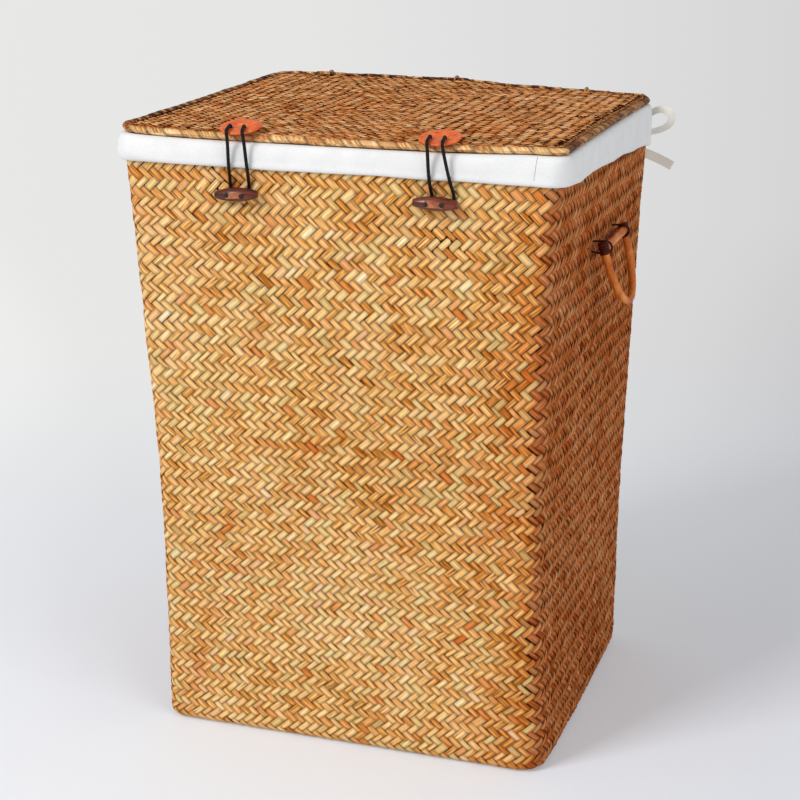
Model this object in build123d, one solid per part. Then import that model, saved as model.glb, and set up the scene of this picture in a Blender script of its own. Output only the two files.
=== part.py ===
from build123d import *
import math
import os

# Woven straw laundry basket with a hinged lid, a cotton liner turned down over the rim,
# two toggle closures on the front and a rattan grip on each end.
# Millimetres.  +Z is up, the front faces -Y, and the origin is the middle of the underside.

# ---------------------------------------------------------------- driving dimensions
# Woven shell: a tapered box with rounded corners
base_width = 366.0           # outer size in X at the floor
base_depth = 319.0           # outer size in Y at the floor
rim_width = 390.0            # outer size in X at the rim
rim_depth = 351.0            # outer size in Y at the rim
shell_height = 558.0
corner_radius = 14.0
shell_wall = 3.5             # two layers of plaited strip
shell_floor = 4.0
foot_radius = 8.0            # the weave rolls round the bottom edge

# Wire frame inside the shell
rim_wire_d = 4.0
rim_wire_drop = 9.0          # its centre below the rim
base_wire_d = 4.0
post_d = 4.0
brace_d = 3.0
brace_spacing = 130.0        # between the two cross wires under the liner

# Cotton liner
liner_thickness = 1.5
liner_seam_drop = 17.0       # the bag is sewn to the turned-down cuff this far below the rim
cuff_thickness = 2.2         # hem folded double
cuff_standoff = 2.5          # air between the cuff and the weave
cuff_top_thickness = 1.7
cuff_drop = 30.5             # the cuff's lower edge below the rim, halfway back
cuff_edge_slope = 0.0585     # the edge drops towards the back
drawstring_thickness = 1.4
drawstring_height = 6.0
drawstring_rise = 2.0        # above the cuff's lower edge

# Lid
lid_overhang_x = 1.0         # each side, past the rim
lid_overhang_y = -0.5
lid_corner_radius = 15.0
lid_roll_d = 8.0             # rolled and wrapped binding
lid_panel_thickness = 2.2
lid_wire_d = 2.5
hinge_tie_d = 2.5
hinge_tie_pitch = 132.0      # three ties along the back
lid_open_deg = 105.0

# Closures
closure_x = 88.0             # both closures, each side of the middle
button_d = 40.0
button_thickness = 3.5
button_tilt = 11.0           # the cord rocks each button forward over the binding
button_inset = 9.0           # its middle behind the lid's front edge
button_shift = 2.5           # the disc sits a little right of its cord
cord_hole_spacing = 15.0
cord_hole_back = 2.6         # holes sit behind the disc's middle
button_hole_d = 4.8
panel_hole_d = 5.0
button_edge = 1.35           # edge rounding
elastic_d = 3.0
anchor_inset = 13.5          # the cord drops through the lid this far behind the front edge
knot_d = 6.0
knot_end_round = 2.8
cord_crown_rise = 1.6        # air under the cord where it crosses the disc
cord_crown_run = 11.0        # from the holes forward to where it starts down
cord_crown_fall = 1.2
cord_lip_gap = 1.4           # air where it turns down over the disc's edge
cord_lip_rise = 0.2
cord_split_drop = 1.0        # below the roll's axis by this much it no longer rides with the lid
cord_cuff_gap = 1.0          # air where it passes the cuff's lower edge
cord_cuff_share = 0.45       # share of its sideways spread reached there
cord_foot_rise = 5.5         # each strand passes behind the toggle this far above its axis
cord_spread = {"left": (-7.5, 9.0), "right": (-5.5, 14.5)}  # strands beside the toggle's middle

# Toggles
toggle_length = 38.0
toggle_mid_d = 12.0
toggle_end_d = 6.0
toggle_hole_spacing = 13.0
toggle_hole_d = 3.0
toggle_gap = 3.6             # room behind it for the elastic
toggle_x = {"left": -86.0, "right": 90.0}
toggle_drop = {"left": 42.0, "right": 38.5}  # below the rim
toggle_turn = {"left": 4.0, "right": 0.0}
thong_leg_d = 2.4
thong_strip_height = 5.0
thong_strip_thickness = 1.6
stem_d = 3.6
stem_knob_d = 6.0            # knot that stops the stem inside
stem_knob_length = 1.0
washer_d = 14.0
washer_thickness = 1.5

# Rattan grips
grip_d = 9.0
grip_half_width = 42.0       # bar centre to leg centreline
grip_drop = 61.0             # bar axis to the bottom of the bow
grip_leg_above = 6.5         # leg ends stand above the bar
grip_below_rim = 97.0        # bar axis below the rim
grip_rest_tilt = 16.0        # the bow stands off the wall
grip_centre_y = -8.0         # fixed a little forward of the middle
grip_wall_gap = 0.5          # between the lashings and the weave at their closest as it swings
lashing_thickness = 1.0
lashing_length = 20.0
keeper_d = 2.6
keeper_width_gap = 1.6       # between a keeper and the lashing beside it

# Liner tape, tied on the back near the right corner
tape_tube_d = 5.0
tape_knot_size = (12.0, 6.0, 12.0)
tape_from_corner = 29.0
tape_below_rim = 33.0

# How much of a cord's shorter run each bend takes up
arc_share = 0.45

# Fits
fit = 0.3                    # between pieces that only lie against each other
bore_fit = 0.3               # round a cord or pin in its hole, on the radius
seam_fit = 0.2
cut_past = 2.0               # how far a cutting block runs past the face it cuts

# Heights and places that follow from the rim and the lid's edge
rim_wire_z = shell_height - rim_wire_drop
liner_seam_z = shell_height - liner_seam_drop
cuff_edge_z = shell_height - cuff_drop
cuff_top = shell_height + fit + cuff_top_thickness
lid_width = rim_width + 2 * lid_overhang_x
lid_depth = rim_depth + 2 * lid_overhang_y
button_y = button_inset - lid_depth / 2
anchor_y = anchor_inset - lid_depth / 2
toggle_z = {side: shell_height - drop for side, drop in toggle_drop.items()}
grip_z = shell_height - grip_below_rim

parts = {}


# ---------------------------------------------------------------- helpers
def wall_half(z, offset=0.0):
    """Half the outer width and depth of the shell at height z, grown by offset."""
    share = z / shell_height
    half_width = (base_width + (rim_width - base_width) * share) / 2 + offset
    half_depth = (base_depth + (rim_depth - base_depth) * share) / 2 + offset
    return half_width, half_depth


def tapered(z_low, z_high, offset):
    """Solid with the shell's taper between two heights, its upright edges rounded."""
    low_x, low_y = wall_half(z_low, offset)
    high_x, high_y = wall_half(z_high, offset)
    front = Polyline((-low_x, 0, z_low), (low_x, 0, z_low), (high_x, 0, z_high), (-high_x, 0, z_high),
                     close=True)
    end = Polyline((0, -low_y, z_low), (0, low_y, z_low), (0, high_y, z_high), (0, -high_y, z_high),
                   close=True)
    body = extrude(make_face(front), amount=rim_depth, both=True)
    body &= extrude(make_face(end), amount=rim_width, both=True)
    rise = (z_high - z_low) / 2
    upright = [edge for edge in body.edges() if abs((edge @ 1 - edge @ 0).Z) > rise]
    return fillet(upright, max(corner_radius + offset, 1.0))


def band(z_low, z_high, offset_in, offset_out):
    """Tapered ring between two offsets from the shell's outer face."""
    return tapered(z_low, z_high, offset_out) - tapered(z_low - cut_past, z_high + cut_past, offset_in)


def rounded_ring(z, half_width, half_depth, rounding, diameter):
    """Round wire bent into a rounded rectangle, given by its centreline."""
    path = (Plane.XY.offset(z) * RectangleRounded(2 * half_width, 2 * half_depth, rounding)).wire()
    start = Plane(origin=path @ 0, z_dir=path % 0)
    return sweep(start * Circle(diameter / 2), path=path)


def rod(start, end, diameter):
    """Round bar between two points."""
    start = Vector(*start)
    end = Vector(*end)
    section = Plane(origin=start, z_dir=end - start) * Circle(diameter / 2)
    return extrude(section, amount=(end - start).length)


def below_cuff_edge(raise_by):
    """Half space under the cuff's sloping lower edge, raised by a distance."""
    size = 2 * shell_height
    tilt = math.degrees(math.atan(cuff_edge_slope))
    block = Pos(0, 0, -size / 2) * Box(size, size, size)
    return Pos(0, 0, cuff_edge_z + raise_by) * Rot(-tilt, 0, 0) * block


def corner_radii(points):
    """Arc radius at each inner point: a share of the shorter run over the tangent of half the turn."""
    radii = []
    for before, here, after in zip(points, points[1:], points[2:]):
        run_in = Vector(*here) - Vector(*before)
        run_out = Vector(*after) - Vector(*here)
        turn = run_in.get_angle(run_out)
        shorter = min(run_in.length, run_out.length)
        radii.append(arc_share * shorter / math.tan(math.radians(turn) / 2))
    return radii


def cord_tube(name, points, diameter):
    """Round tube along straight runs joined by tangent arcs."""
    radii = corner_radii(points)
    path = FilletPolyline(*points, radius=radii)
    section = Plane(origin=path @ 0, z_dir=path % 0) * Circle(diameter / 2)
    tube = sweep(section, path=path)
    wanted = math.pi * diameter**2 / 4 * path.length
    shown = ", ".join(f"{value:.1f}" for value in radii)
    print(f"{name}: length {path.length:.1f}, volume {tube.volume / wanted:.4f} of section x length")
    print(f"   radii {shown}")
    return tube


def group(solids):
    """Several separate solids kept in one node."""
    return Compound(children=[solid for piece in solids for solid in piece.solids()])


# ---------------------------------------------------------------- woven shell
def front_face(z):
    """Y of the shell's front face at height z."""
    return -wall_half(z)[1]


def end_face(z):
    """X of the shell's right end face at height z."""
    return wall_half(z)[0]


grip_back = math.hypot(grip_leg_above, grip_d / 2 + lashing_thickness)
grip_x = end_face(grip_z + grip_back) + grip_back + grip_wall_gap
keeper_y = grip_half_width - grip_d / 2 - lashing_thickness - keeper_width_gap - keeper_d / 2
keeper_arc = grip_d / 2 + bore_fit + keeper_d / 2
keeper_reach = grip_x - (end_face(grip_z) - shell_wall) + fit + keeper_d / 2
lid_axis_y = lid_depth / 2 - lid_roll_d / 2
lid_roll_z = cuff_top + fit + lid_roll_d / 2
tie_arc = lid_roll_d / 2 + bore_fit + hinge_tie_d / 2
rim_wire_offset = -(shell_wall + fit + rim_wire_d / 2)
tie_foot_y = wall_half(rim_wire_z, rim_wire_offset)[1]
tie_foot_arc = rim_wire_d / 2 + bore_fit + hinge_tie_d / 2
tie_positions = [-hinge_tie_pitch, 0.0, hinge_tie_pitch]
tie_slot = hinge_tie_d + 2 * fit
liner_out = -(shell_wall + fit + rim_wire_d + 2 * seam_fit)
liner_in = liner_out - liner_thickness
cuff_in = cuff_standoff
cuff_out = cuff_standoff + cuff_thickness


def woven_shell():
    body = tapered(0, shell_height, 0)
    foot_edges = body.edges().group_by(Axis.Z)[0]
    body = fillet(foot_edges, foot_radius)
    body -= tapered(shell_floor, shell_height + cut_past, -shell_wall)
    for side in (-1, 1):
        for y in (grip_centre_y - keeper_y, grip_centre_y + keeper_y):
            slot = Box(shell_wall * 6, keeper_d + 2 * fit, 2 * (keeper_arc + keeper_d / 2 + fit))
            body -= Pos(side * end_face(grip_z), y, grip_z) * slot
    for side in ("left", "right"):
        hole = Cylinder(stem_d / 2 + bore_fit, shell_wall * 6, rotation=(90, 0, 0))
        body -= Pos(toggle_x[side], front_face(toggle_z[side]), toggle_z[side]) * hole
    for x in tie_positions:
        low = rim_wire_z - tie_foot_arc - hinge_tie_d / 2 - fit
        high = shell_height + cut_past
        notch = Box(tie_slot, 5 * shell_wall, high - low)
        body -= Pos(x, wall_half(low)[1], (low + high) / 2) * notch
    return body


parts["woven_shell"] = woven_shell()


# ---------------------------------------------------------------- wire frame
def shell_ring(z, diameter):
    """Wire ring that lies against the inside of the shell at height z."""
    offset = -(shell_wall + fit + diameter / 2)
    half_width, half_depth = wall_half(z, offset)
    return rounded_ring(z, half_width, half_depth, corner_radius + offset, diameter)


base_wire_z = shell_floor + fit + base_wire_d / 2
brace_z = base_wire_z + base_wire_d / 2 + fit + brace_d / 2
parts["rim_wire"] = shell_ring(rim_wire_z, rim_wire_d)
parts["base_wire"] = shell_ring(base_wire_z, base_wire_d)


def corner_posts():
    posts = []
    low_z = base_wire_z + base_wire_d / 2 + fit
    high_z = rim_wire_z - rim_wire_d / 2 - fit
    offset = -(shell_wall + fit + post_d / 2)
    reach = (corner_radius + offset) * math.cos(math.radians(45)) - corner_radius
    for sign_x in (-1, 1):
        for sign_y in (-1, 1):
            ends = []
            for z in (low_z, high_z):
                half_width, half_depth = wall_half(z)
                ends.append((sign_x * (half_width + reach), sign_y * (half_depth + reach), z))
            posts.append(rod(ends[0], ends[1], post_d))
    return posts


for name, post in zip(("post_front_left", "post_back_left", "post_front_right", "post_back_right"),
                      corner_posts()):
    parts[name] = post

brace_half = wall_half(brace_z, rim_wire_offset)[1]
parts["base_braces"] = group([
    rod((x, -brace_half, brace_z), (x, brace_half, brace_z), brace_d)
    for x in (-brace_spacing / 2, brace_spacing / 2)
])


# ---------------------------------------------------------------- cotton liner
def liner_bag():
    floor_z = brace_z + brace_d / 2 + fit
    bag = tapered(floor_z, liner_seam_z - seam_fit, liner_out)
    return bag - tapered(floor_z + liner_thickness, liner_seam_z + cut_past, liner_in)


def liner_cuff():
    low = cuff_edge_z - cuff_edge_slope * rim_depth
    outer_leg = band(low, cuff_top - cuff_top_thickness, cuff_in, cuff_out)
    outer_leg -= below_cuff_edge(0)
    inner_leg = band(liner_seam_z, cuff_top - cuff_top_thickness, liner_in, liner_out)
    top = band(cuff_top - cuff_top_thickness, cuff_top, liner_in, cuff_out)
    cuff = outer_leg + inner_leg + top
    near = wall_half(rim_wire_z, liner_in)[1] - cut_past
    far = lid_axis_y + tie_arc + hinge_tie_d / 2 + fit
    slot = Box(tie_slot, far - near, cuff_top - liner_seam_z)
    for x in tie_positions:
        cuff -= Pos(x, (far + near) / 2, (cuff_top + liner_seam_z) / 2 + cut_past) * slot
    return cuff


def drawstring():
    inner = (cuff_standoff - drawstring_thickness) / 2
    reach = cuff_edge_slope * rim_depth + drawstring_rise + drawstring_height
    tape = band(cuff_edge_z - reach, cuff_edge_z + reach, inner, inner + drawstring_thickness)
    tape -= below_cuff_edge(drawstring_rise)
    return tape & below_cuff_edge(drawstring_rise + drawstring_height)


parts["liner_bag"] = liner_bag()
parts["liner_cuff"] = liner_cuff()
parts["drawstring"] = drawstring()


# ---------------------------------------------------------------- lid
panel_low = lid_roll_z + lid_wire_d / 2 + seam_fit
lid_half_x = lid_width / 2 - lid_roll_d / 2
lid_half_y = lid_depth / 2 - lid_roll_d / 2
roll_rounding = lid_corner_radius - lid_roll_d / 2
hole_axis_x = {"left": -closure_x, "right": closure_x}


def lid_panel():
    flat = Plane.XY.offset(panel_low) * RectangleRounded(2 * lid_half_x, 2 * lid_half_y, roll_rounding)
    panel = extrude(flat, amount=lid_panel_thickness)
    for side in ("left", "right"):
        for step in (-0.5, 0.5):
            x = hole_axis_x[side] + step * cord_hole_spacing
            panel -= Pos(x, anchor_y, panel_low) * Cylinder(panel_hole_d / 2, lid_panel_thickness * 4)
    slot_far = tie_arc + hinge_tie_d / 2 + fit
    for x in tie_positions:
        slot = Box(tie_slot, slot_far, lid_panel_thickness * 4)
        panel -= Pos(x, lid_axis_y - slot_far / 2, panel_low) * slot
        panel -= Pos(x, lid_axis_y + slot_far / 2, panel_low) * slot
    return panel


def lid_wire():
    return rounded_ring(lid_roll_z, lid_half_x, lid_half_y, roll_rounding, lid_wire_d)


def lid_binding():
    roll = rounded_ring(lid_roll_z, lid_half_x, lid_half_y, roll_rounding, lid_roll_d)
    roll -= rounded_ring(lid_roll_z, lid_half_x, lid_half_y, roll_rounding, lid_wire_d + 2 * seam_fit)
    low = lid_roll_z + lid_wire_d / 2
    seat = RectangleRounded(2 * (lid_half_x + seam_fit), 2 * (lid_half_y + seam_fit),
                            roll_rounding + seam_fit)
    roll -= extrude(Plane.XY.offset(low) * seat, amount=lid_roll_d)
    return roll


parts["lid_panel"] = lid_panel()
parts["lid_binding"] = lid_binding()
parts["lid_wire"] = lid_wire()


def hinge_tie(x):
    """Twine loop round the lid's back roll and under the rim wire."""
    top = Vector(x, lid_axis_y, lid_roll_z)
    foot = Vector(x, tie_foot_y, rim_wire_z)
    along = math.atan2(foot.Z - top.Z, foot.Y - top.Y)
    spread = math.acos((tie_arc - tie_foot_arc) / (foot - top).length)

    def on_circle(centre, radius, angle):
        return centre + Vector(0, radius * math.cos(angle), radius * math.sin(angle))

    top_a, top_b = [on_circle(top, tie_arc, along + sign * spread) for sign in (1, -1)]
    foot_a, foot_b = [on_circle(foot, tie_foot_arc, along + sign * spread) for sign in (1, -1)]
    with BuildLine() as belt:
        Line(top_a, foot_a)
        ThreePointArc(foot_a, on_circle(foot, tie_foot_arc, along), foot_b)
        Line(foot_b, top_b)
        ThreePointArc(top_b, on_circle(top, tie_arc, along + math.pi), top_a)
    path = belt.wire()
    start = Plane(origin=path @ 0, z_dir=path % 0)
    return sweep(start * Circle(hinge_tie_d / 2), path=path)


for name, x in zip(("hinge_tie_left", "hinge_tie_middle", "hinge_tie_right"), tie_positions):
    parts[name] = hinge_tie(x)


# ---------------------------------------------------------------- buttons and elastic
contact_y = -lid_half_y
contact_z = lid_roll_z + lid_roll_d / 2 + seam_fit + button_thickness / 2
button_z = contact_z + (button_y - contact_y) * math.tan(math.radians(button_tilt))


def button_frame(side):
    x = hole_axis_x[side] + button_shift
    return Pos(x, button_y, button_z) * Rot(button_tilt, 0, 0)


def button(side):
    disc = Cylinder(button_d / 2, button_thickness)
    disc = fillet(disc.edges(), button_edge)
    for step in (-0.5, 0.5):
        x = step * cord_hole_spacing - button_shift
        disc -= Pos(x, cord_hole_back, 0) * Cylinder(button_hole_d / 2, button_thickness * 3)
    return button_frame(side) * disc


button_front = button_y - button_d / 2 * math.cos(math.radians(button_tilt))
elastic_r = elastic_d / 2
knot_z = panel_low - fit - knot_d / 2
cord_lip_y = button_front - elastic_r - cord_lip_gap
cord_lip_z = button_z + cord_lip_rise
cord_split_z = lid_roll_z - cord_split_drop
cuff_lip_z = cuff_edge_z - cuff_edge_slope * front_face(cuff_edge_z)
cuff_lip_y = front_face(cuff_lip_z) - cuff_out - elastic_r - cord_cuff_gap


def strand(side, index):
    """Lip, split and cuff points of one strand; the two solids meet on its straight run."""
    x = hole_axis_x[side] + (index - 0.5) * cord_hole_spacing
    foot_x = toggle_x[side] + cord_spread[side][index]
    lip = Vector(x, cord_lip_y, cord_lip_z)
    over_cuff = Vector(x + cord_cuff_share * (foot_x - x), cuff_lip_y, cuff_lip_z + elastic_r)
    share = (lip.Z - cord_split_z) / (lip.Z - over_cuff.Z)
    split = lip + (over_cuff - lip) * share
    return lip, split, over_cuff, foot_x


def elastic_anchor(side):
    """Two short ends of the elastic, from the knot up through the button and over its edge."""
    ends = []
    for index in (0, 1):
        lip, split, over_cuff, foot_x = strand(side, index)
        hole_y = button_y + cord_hole_back
        crown_z = button_z + button_thickness / 2 + elastic_r + cord_crown_rise
        points = [
            (lip.X, anchor_y, knot_z + knot_d / 2 + seam_fit / 2),
            (lip.X, hole_y, crown_z),
            (lip.X, hole_y - cord_crown_run, crown_z - cord_crown_fall),
            tuple(lip),
            tuple(split),
        ]
        ends.append(cord_tube(f"elastic_anchor_{side}", points, elastic_d))
    return group(ends)


def elastic_loop(side):
    """The free loop that hangs over the cuff and hooks under the toggle's stem."""
    tx = toggle_x[side]
    tz = toggle_z[side]
    behind_y = front_face(tz) - fit - elastic_r
    hook = stem_d / 2 + bore_fit + elastic_r
    first = strand(side, 0)
    last = strand(side, 1)
    points = [
        tuple(first[1]),
        tuple(first[2]),
        (first[3], behind_y, tz + cord_foot_rise),
        (tx - hook, behind_y, tz - hook + seam_fit),
        (tx + hook, behind_y, tz - hook),
        (last[3], behind_y, tz + cord_foot_rise),
        tuple(last[2]),
        tuple(last[1]),
    ]
    return cord_tube(f"elastic_loop_{side}", points, elastic_d)


def elastic_knot(side):
    """The cord's two ends tied off under the lid."""
    length = cord_hole_spacing + knot_d
    bar = Cylinder(knot_d / 2, length, rotation=(0, 90, 0))
    bar = fillet(bar.edges(), knot_end_round)
    return Pos(hole_axis_x[side], anchor_y, knot_z) * bar


for side in ("left", "right"):
    parts[f"button_{side}"] = button(side)
    parts[f"elastic_anchor_{side}"] = elastic_anchor(side)
    parts[f"elastic_loop_{side}"] = elastic_loop(side)
    parts[f"elastic_knot_{side}"] = elastic_knot(side)


# ---------------------------------------------------------------- toggles
def toggle_axis_y(side):
    return front_face(toggle_z[side]) - toggle_gap - toggle_mid_d / 2


def toggle_place(side):
    return Pos(toggle_x[side], toggle_axis_y(side), toggle_z[side]) * Rot(0, -toggle_turn[side], 0)


def toggle(side):
    """Barrel-shaped wooden toggle with two holes and a groove for its thong."""
    half = toggle_length / 2
    with BuildPart() as barrel:
        with BuildSketch(Plane.XZ):
            with BuildLine():
                Polyline((-half, 0), (half, 0), (half, toggle_end_d / 2))
                ThreePointArc((half, toggle_end_d / 2), (0, toggle_mid_d / 2), (-half, toggle_end_d / 2))
                Line((-half, toggle_end_d / 2), (-half, 0))
            make_face()
        revolve(axis=Axis.X)
    body = barrel.part
    for step in (-0.5, 0.5):
        hole = Cylinder(toggle_hole_d / 2, toggle_mid_d * 2, rotation=(90, 0, 0))
        body -= Pos(step * toggle_hole_spacing, 0, 0) * hole
    groove_depth = thong_leg_d + seam_fit
    groove = Box(toggle_hole_spacing + toggle_hole_d, groove_depth * 2, thong_leg_d + 2 * seam_fit)
    body -= Pos(0, toggle_mid_d / 2, 0) * groove
    front_cut = Box(toggle_hole_spacing + thong_leg_d + 2 * seam_fit, 2 * thong_strip_thickness,
                    thong_strip_height + 2 * seam_fit)
    body -= Pos(0, -toggle_mid_d / 2, 0) * front_cut
    return toggle_place(side) * body


def toggle_thong(side):
    """Thong across the toggle's face, through its holes and back through the weave to a knot."""
    strip_y = -toggle_mid_d / 2 + thong_strip_thickness / 2 - seam_fit
    strip = Pos(0, strip_y, 0) * Box(toggle_hole_spacing + thong_leg_d, thong_strip_thickness,
                                     thong_strip_height)
    link_y = toggle_mid_d / 2 - thong_leg_d / 2
    body = strip + Pos(0, link_y, 0) * Box(toggle_hole_spacing, thong_leg_d, thong_leg_d)
    for step in (-0.5, 0.5):
        x = step * toggle_hole_spacing
        body += rod((x, strip_y, 0), (x, link_y, 0), thong_leg_d)
        body += Pos(x, link_y, 0) * Cylinder(thong_leg_d / 2, thong_leg_d, rotation=(90, 0, 0))
    inside_y = toggle_mid_d / 2 + toggle_gap + shell_wall + fit
    stem_end = inside_y + washer_thickness + seam_fit
    stem_start = toggle_mid_d / 2 + seam_fit
    body += rod((0, link_y, 0), (0, stem_start + seam_fit, 0), thong_leg_d)
    body += rod((0, stem_start, 0), (0, stem_end + seam_fit, 0), stem_d)
    body += rod((0, stem_end, 0), (0, stem_end + stem_knob_length, 0), stem_knob_d)
    return toggle_place(side) * body


def toggle_washer(side):
    """Leather washer that spreads the pull on the inside of the weave."""
    inside_y = toggle_mid_d / 2 + toggle_gap + shell_wall + fit
    disc = Cylinder(washer_d / 2, washer_thickness, rotation=(90, 0, 0))
    disc -= Cylinder(stem_d / 2 + seam_fit, washer_thickness * 3, rotation=(90, 0, 0))
    return toggle_place(side) * Pos(0, inside_y + washer_thickness / 2, 0) * disc


for side in ("left", "right"):
    parts[f"toggle_{side}"] = toggle(side)
    parts[f"toggle_thong_{side}"] = toggle_thong(side)
    parts[f"toggle_washer_{side}"] = toggle_washer(side)


# ---------------------------------------------------------------- rattan grips
def to_side(shape, side):
    """Grips are drawn on the right end and mirrored for the left one."""
    if side == "right":
        return shape
    return mirror(shape, about=Plane.YZ)


def grip_place():
    return Pos(grip_x, grip_centre_y, grip_z) * Rot(0, -grip_rest_tilt, 0)


def grip_bow():
    """Cane bent into a U, its two ends standing above the bar."""
    straight = grip_drop - grip_half_width
    with BuildLine(Plane.YZ) as path:
        Line((-grip_half_width, grip_leg_above), (-grip_half_width, -straight))
        ThreePointArc((-grip_half_width, -straight), (0, -grip_drop), (grip_half_width, -straight))
        Line((grip_half_width, -straight), (grip_half_width, grip_leg_above))
    start = Plane(origin=(0, -grip_half_width, grip_leg_above), z_dir=(0, 0, -1))
    bow = sweep(start * Circle(grip_d / 2), path=path.wire())
    return grip_place() * bow


def grip_bar():
    """Straight cane between the legs; it turns in the keepers."""
    half = grip_half_width - grip_d / 2 - seam_fit
    return grip_place() * rod((0, -half, 0), (0, half, 0), grip_d)


def grip_lashings():
    """Cord bound round each leg where the bar meets it."""
    sleeves = []
    for y in (-grip_half_width, grip_half_width):
        outer = Cylinder(grip_d / 2 + lashing_thickness, lashing_length)
        inner = Cylinder(grip_d / 2 + seam_fit, lashing_length * 2)
        bar_way = Cylinder(grip_d / 2 + seam_fit, 2 * (grip_d + cut_past), rotation=(90, 0, 0))
        toward = -1 if y > 0 else 1
        middle = grip_leg_above - lashing_length / 2
        sleeve = outer - inner - Pos(0, toward * (grip_d + cut_past), -middle) * bar_way
        sleeves.append(grip_place() * Pos(0, y, middle) * sleeve)
    return group(sleeves)


def keeper(y):
    """Cane loop round the bar and through the weave."""
    inner_x = grip_x - keeper_reach
    bend = keeper_d / 2 + fit
    slack = bend * (1 - math.cos(math.radians(45)))
    top = grip_z + keeper_arc
    low = grip_z - keeper_arc
    with BuildLine() as loop:
        Line((grip_x, y, low), (inner_x + bend, y, low))
        ThreePointArc((inner_x + bend, y, low), (inner_x + slack, y, low + slack),
                      (inner_x, y, low + bend))
        Line((inner_x, y, low + bend), (inner_x, y, top - bend))
        ThreePointArc((inner_x, y, top - bend), (inner_x + slack, y, top - slack),
                      (inner_x + bend, y, top))
        Line((inner_x + bend, y, top), (grip_x, y, top))
        ThreePointArc((grip_x, y, top), (grip_x + keeper_arc, y, grip_z), (grip_x, y, low))
    path = loop.wire()
    start = Plane(origin=path @ 0, z_dir=path % 0)
    return sweep(start * Circle(keeper_d / 2), path=path)


for side in ("right", "left"):
    parts[f"grip_bow_{side}"] = to_side(grip_bow(), side)
    parts[f"grip_bar_{side}"] = to_side(grip_bar(), side)
    parts[f"grip_lashings_{side}"] = to_side(grip_lashings(), side)
    keepers = [keeper(grip_centre_y + step * keeper_y) for step in (-1, 1)]
    parts[f"grip_keepers_{side}"] = group([to_side(loop, side) for loop in keepers])


# ---------------------------------------------------------------- liner tape, tied at the back
knot_width, knot_thickness, knot_height = tape_knot_size
kz = shell_height - tape_below_rim
kx = rim_width / 2 - tape_from_corner
ky = wall_half(kz)[1] + cuff_out + fit + knot_thickness / 2


def tape_knot():
    block = Box(knot_width, knot_thickness, knot_height)
    return Pos(kx, ky, kz) * fillet(block.edges(), knot_thickness / 2 - fit)


# Steps from the knot's middle: right, away from the wall, up
tape_routes = {
    "tape_loop_right": [
        (7.6, 0.2, 3.2), (15.5, 0.6, 8.5), (25, 1.2, 18), (37, 1.4, 25.0), (48, 1.6, 21),
        (48, 1.6, 10.5), (38, 1.2, 4.5), (26, 0.8, 1.5), (16, 0.4, -1.5), (6.9, 0.0, -3.2),
    ],
    "tape_tail_right": [
        (3.0, 0.0, -7.4), (6.5, 0.2, -13.5), (16, 0.8, -17), (28, 1.2, -20.5), (40, 1.4, -25),
        (51, 1.4, -30.5),
    ],
    "tape_loop_left": [
        (-6.6, 0.2, 3.2), (-18, 0.8, 7), (-31, 1.4, 4), (-38, 1.8, -7), (-33, 1.8, -19),
        (-22, 1.4, -21), (-13.5, 0.8, -12.5), (-7.0, 0.0, -4.0),
    ],
    "tape_tail_left": [
        (-3.0, 0.0, -6.6), (-4.5, 0.2, -19), (-3.5, 0.6, -34), (0.5, 0.8, -50), (0.5, 0.8, -66),
    ],
}
parts["tape_knot"] = tape_knot()
for name, route in tape_routes.items():
    points = [(kx + right, ky + out, kz + up) for right, out, up in route]
    parts[name] = cord_tube(name, points, tape_tube_d)


# ---------------------------------------------------------------- write
os.makedirs("parts", exist_ok=True)
for name, shape in parts.items():
    export_step(shape, f"parts/{name}.step")
print(len(parts), "nodes")
print(f"lid axis y {lid_axis_y:.2f} z {lid_roll_z:.2f}; grip axis x {grip_x:.3f} z {grip_z:.1f}")
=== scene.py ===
# %% [markdown]
# # A woven laundry basket
# This is a tall hamper plaited from flat strips of straw, with a hinged lid, a cotton liner
# turned down over the rim, two cord-and-toggle closures and a rattan grip on each end.
# The solid model is already packed, so the first job is to load it. Everything made here
# is placed in that model's own metres, and most of it rides on its moving bodies.

# %% Load the imported model
import math

import bmesh
import bpy
import numpy as np
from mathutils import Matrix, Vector


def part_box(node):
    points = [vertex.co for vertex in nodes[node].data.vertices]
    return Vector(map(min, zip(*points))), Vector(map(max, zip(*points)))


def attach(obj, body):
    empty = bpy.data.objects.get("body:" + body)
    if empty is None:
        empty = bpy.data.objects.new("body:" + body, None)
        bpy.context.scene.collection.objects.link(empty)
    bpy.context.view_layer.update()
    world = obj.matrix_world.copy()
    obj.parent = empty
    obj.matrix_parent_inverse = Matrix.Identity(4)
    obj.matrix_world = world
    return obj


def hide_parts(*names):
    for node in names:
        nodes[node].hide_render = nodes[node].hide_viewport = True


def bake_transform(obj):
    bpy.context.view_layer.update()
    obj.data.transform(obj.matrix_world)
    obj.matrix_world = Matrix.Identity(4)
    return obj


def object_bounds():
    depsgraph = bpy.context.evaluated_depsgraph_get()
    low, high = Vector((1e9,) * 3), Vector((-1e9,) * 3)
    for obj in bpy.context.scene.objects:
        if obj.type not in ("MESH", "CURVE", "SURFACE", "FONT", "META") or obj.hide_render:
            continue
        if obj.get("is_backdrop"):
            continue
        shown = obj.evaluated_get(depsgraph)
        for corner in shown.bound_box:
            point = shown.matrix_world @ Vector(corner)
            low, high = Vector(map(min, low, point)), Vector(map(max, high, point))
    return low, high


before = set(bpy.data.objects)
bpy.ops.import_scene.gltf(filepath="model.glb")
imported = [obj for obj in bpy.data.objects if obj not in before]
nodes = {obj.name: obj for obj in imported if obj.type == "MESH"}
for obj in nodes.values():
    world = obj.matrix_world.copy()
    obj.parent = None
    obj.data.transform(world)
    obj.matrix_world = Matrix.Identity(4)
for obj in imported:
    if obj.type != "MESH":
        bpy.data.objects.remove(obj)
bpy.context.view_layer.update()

MM = 0.001
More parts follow.
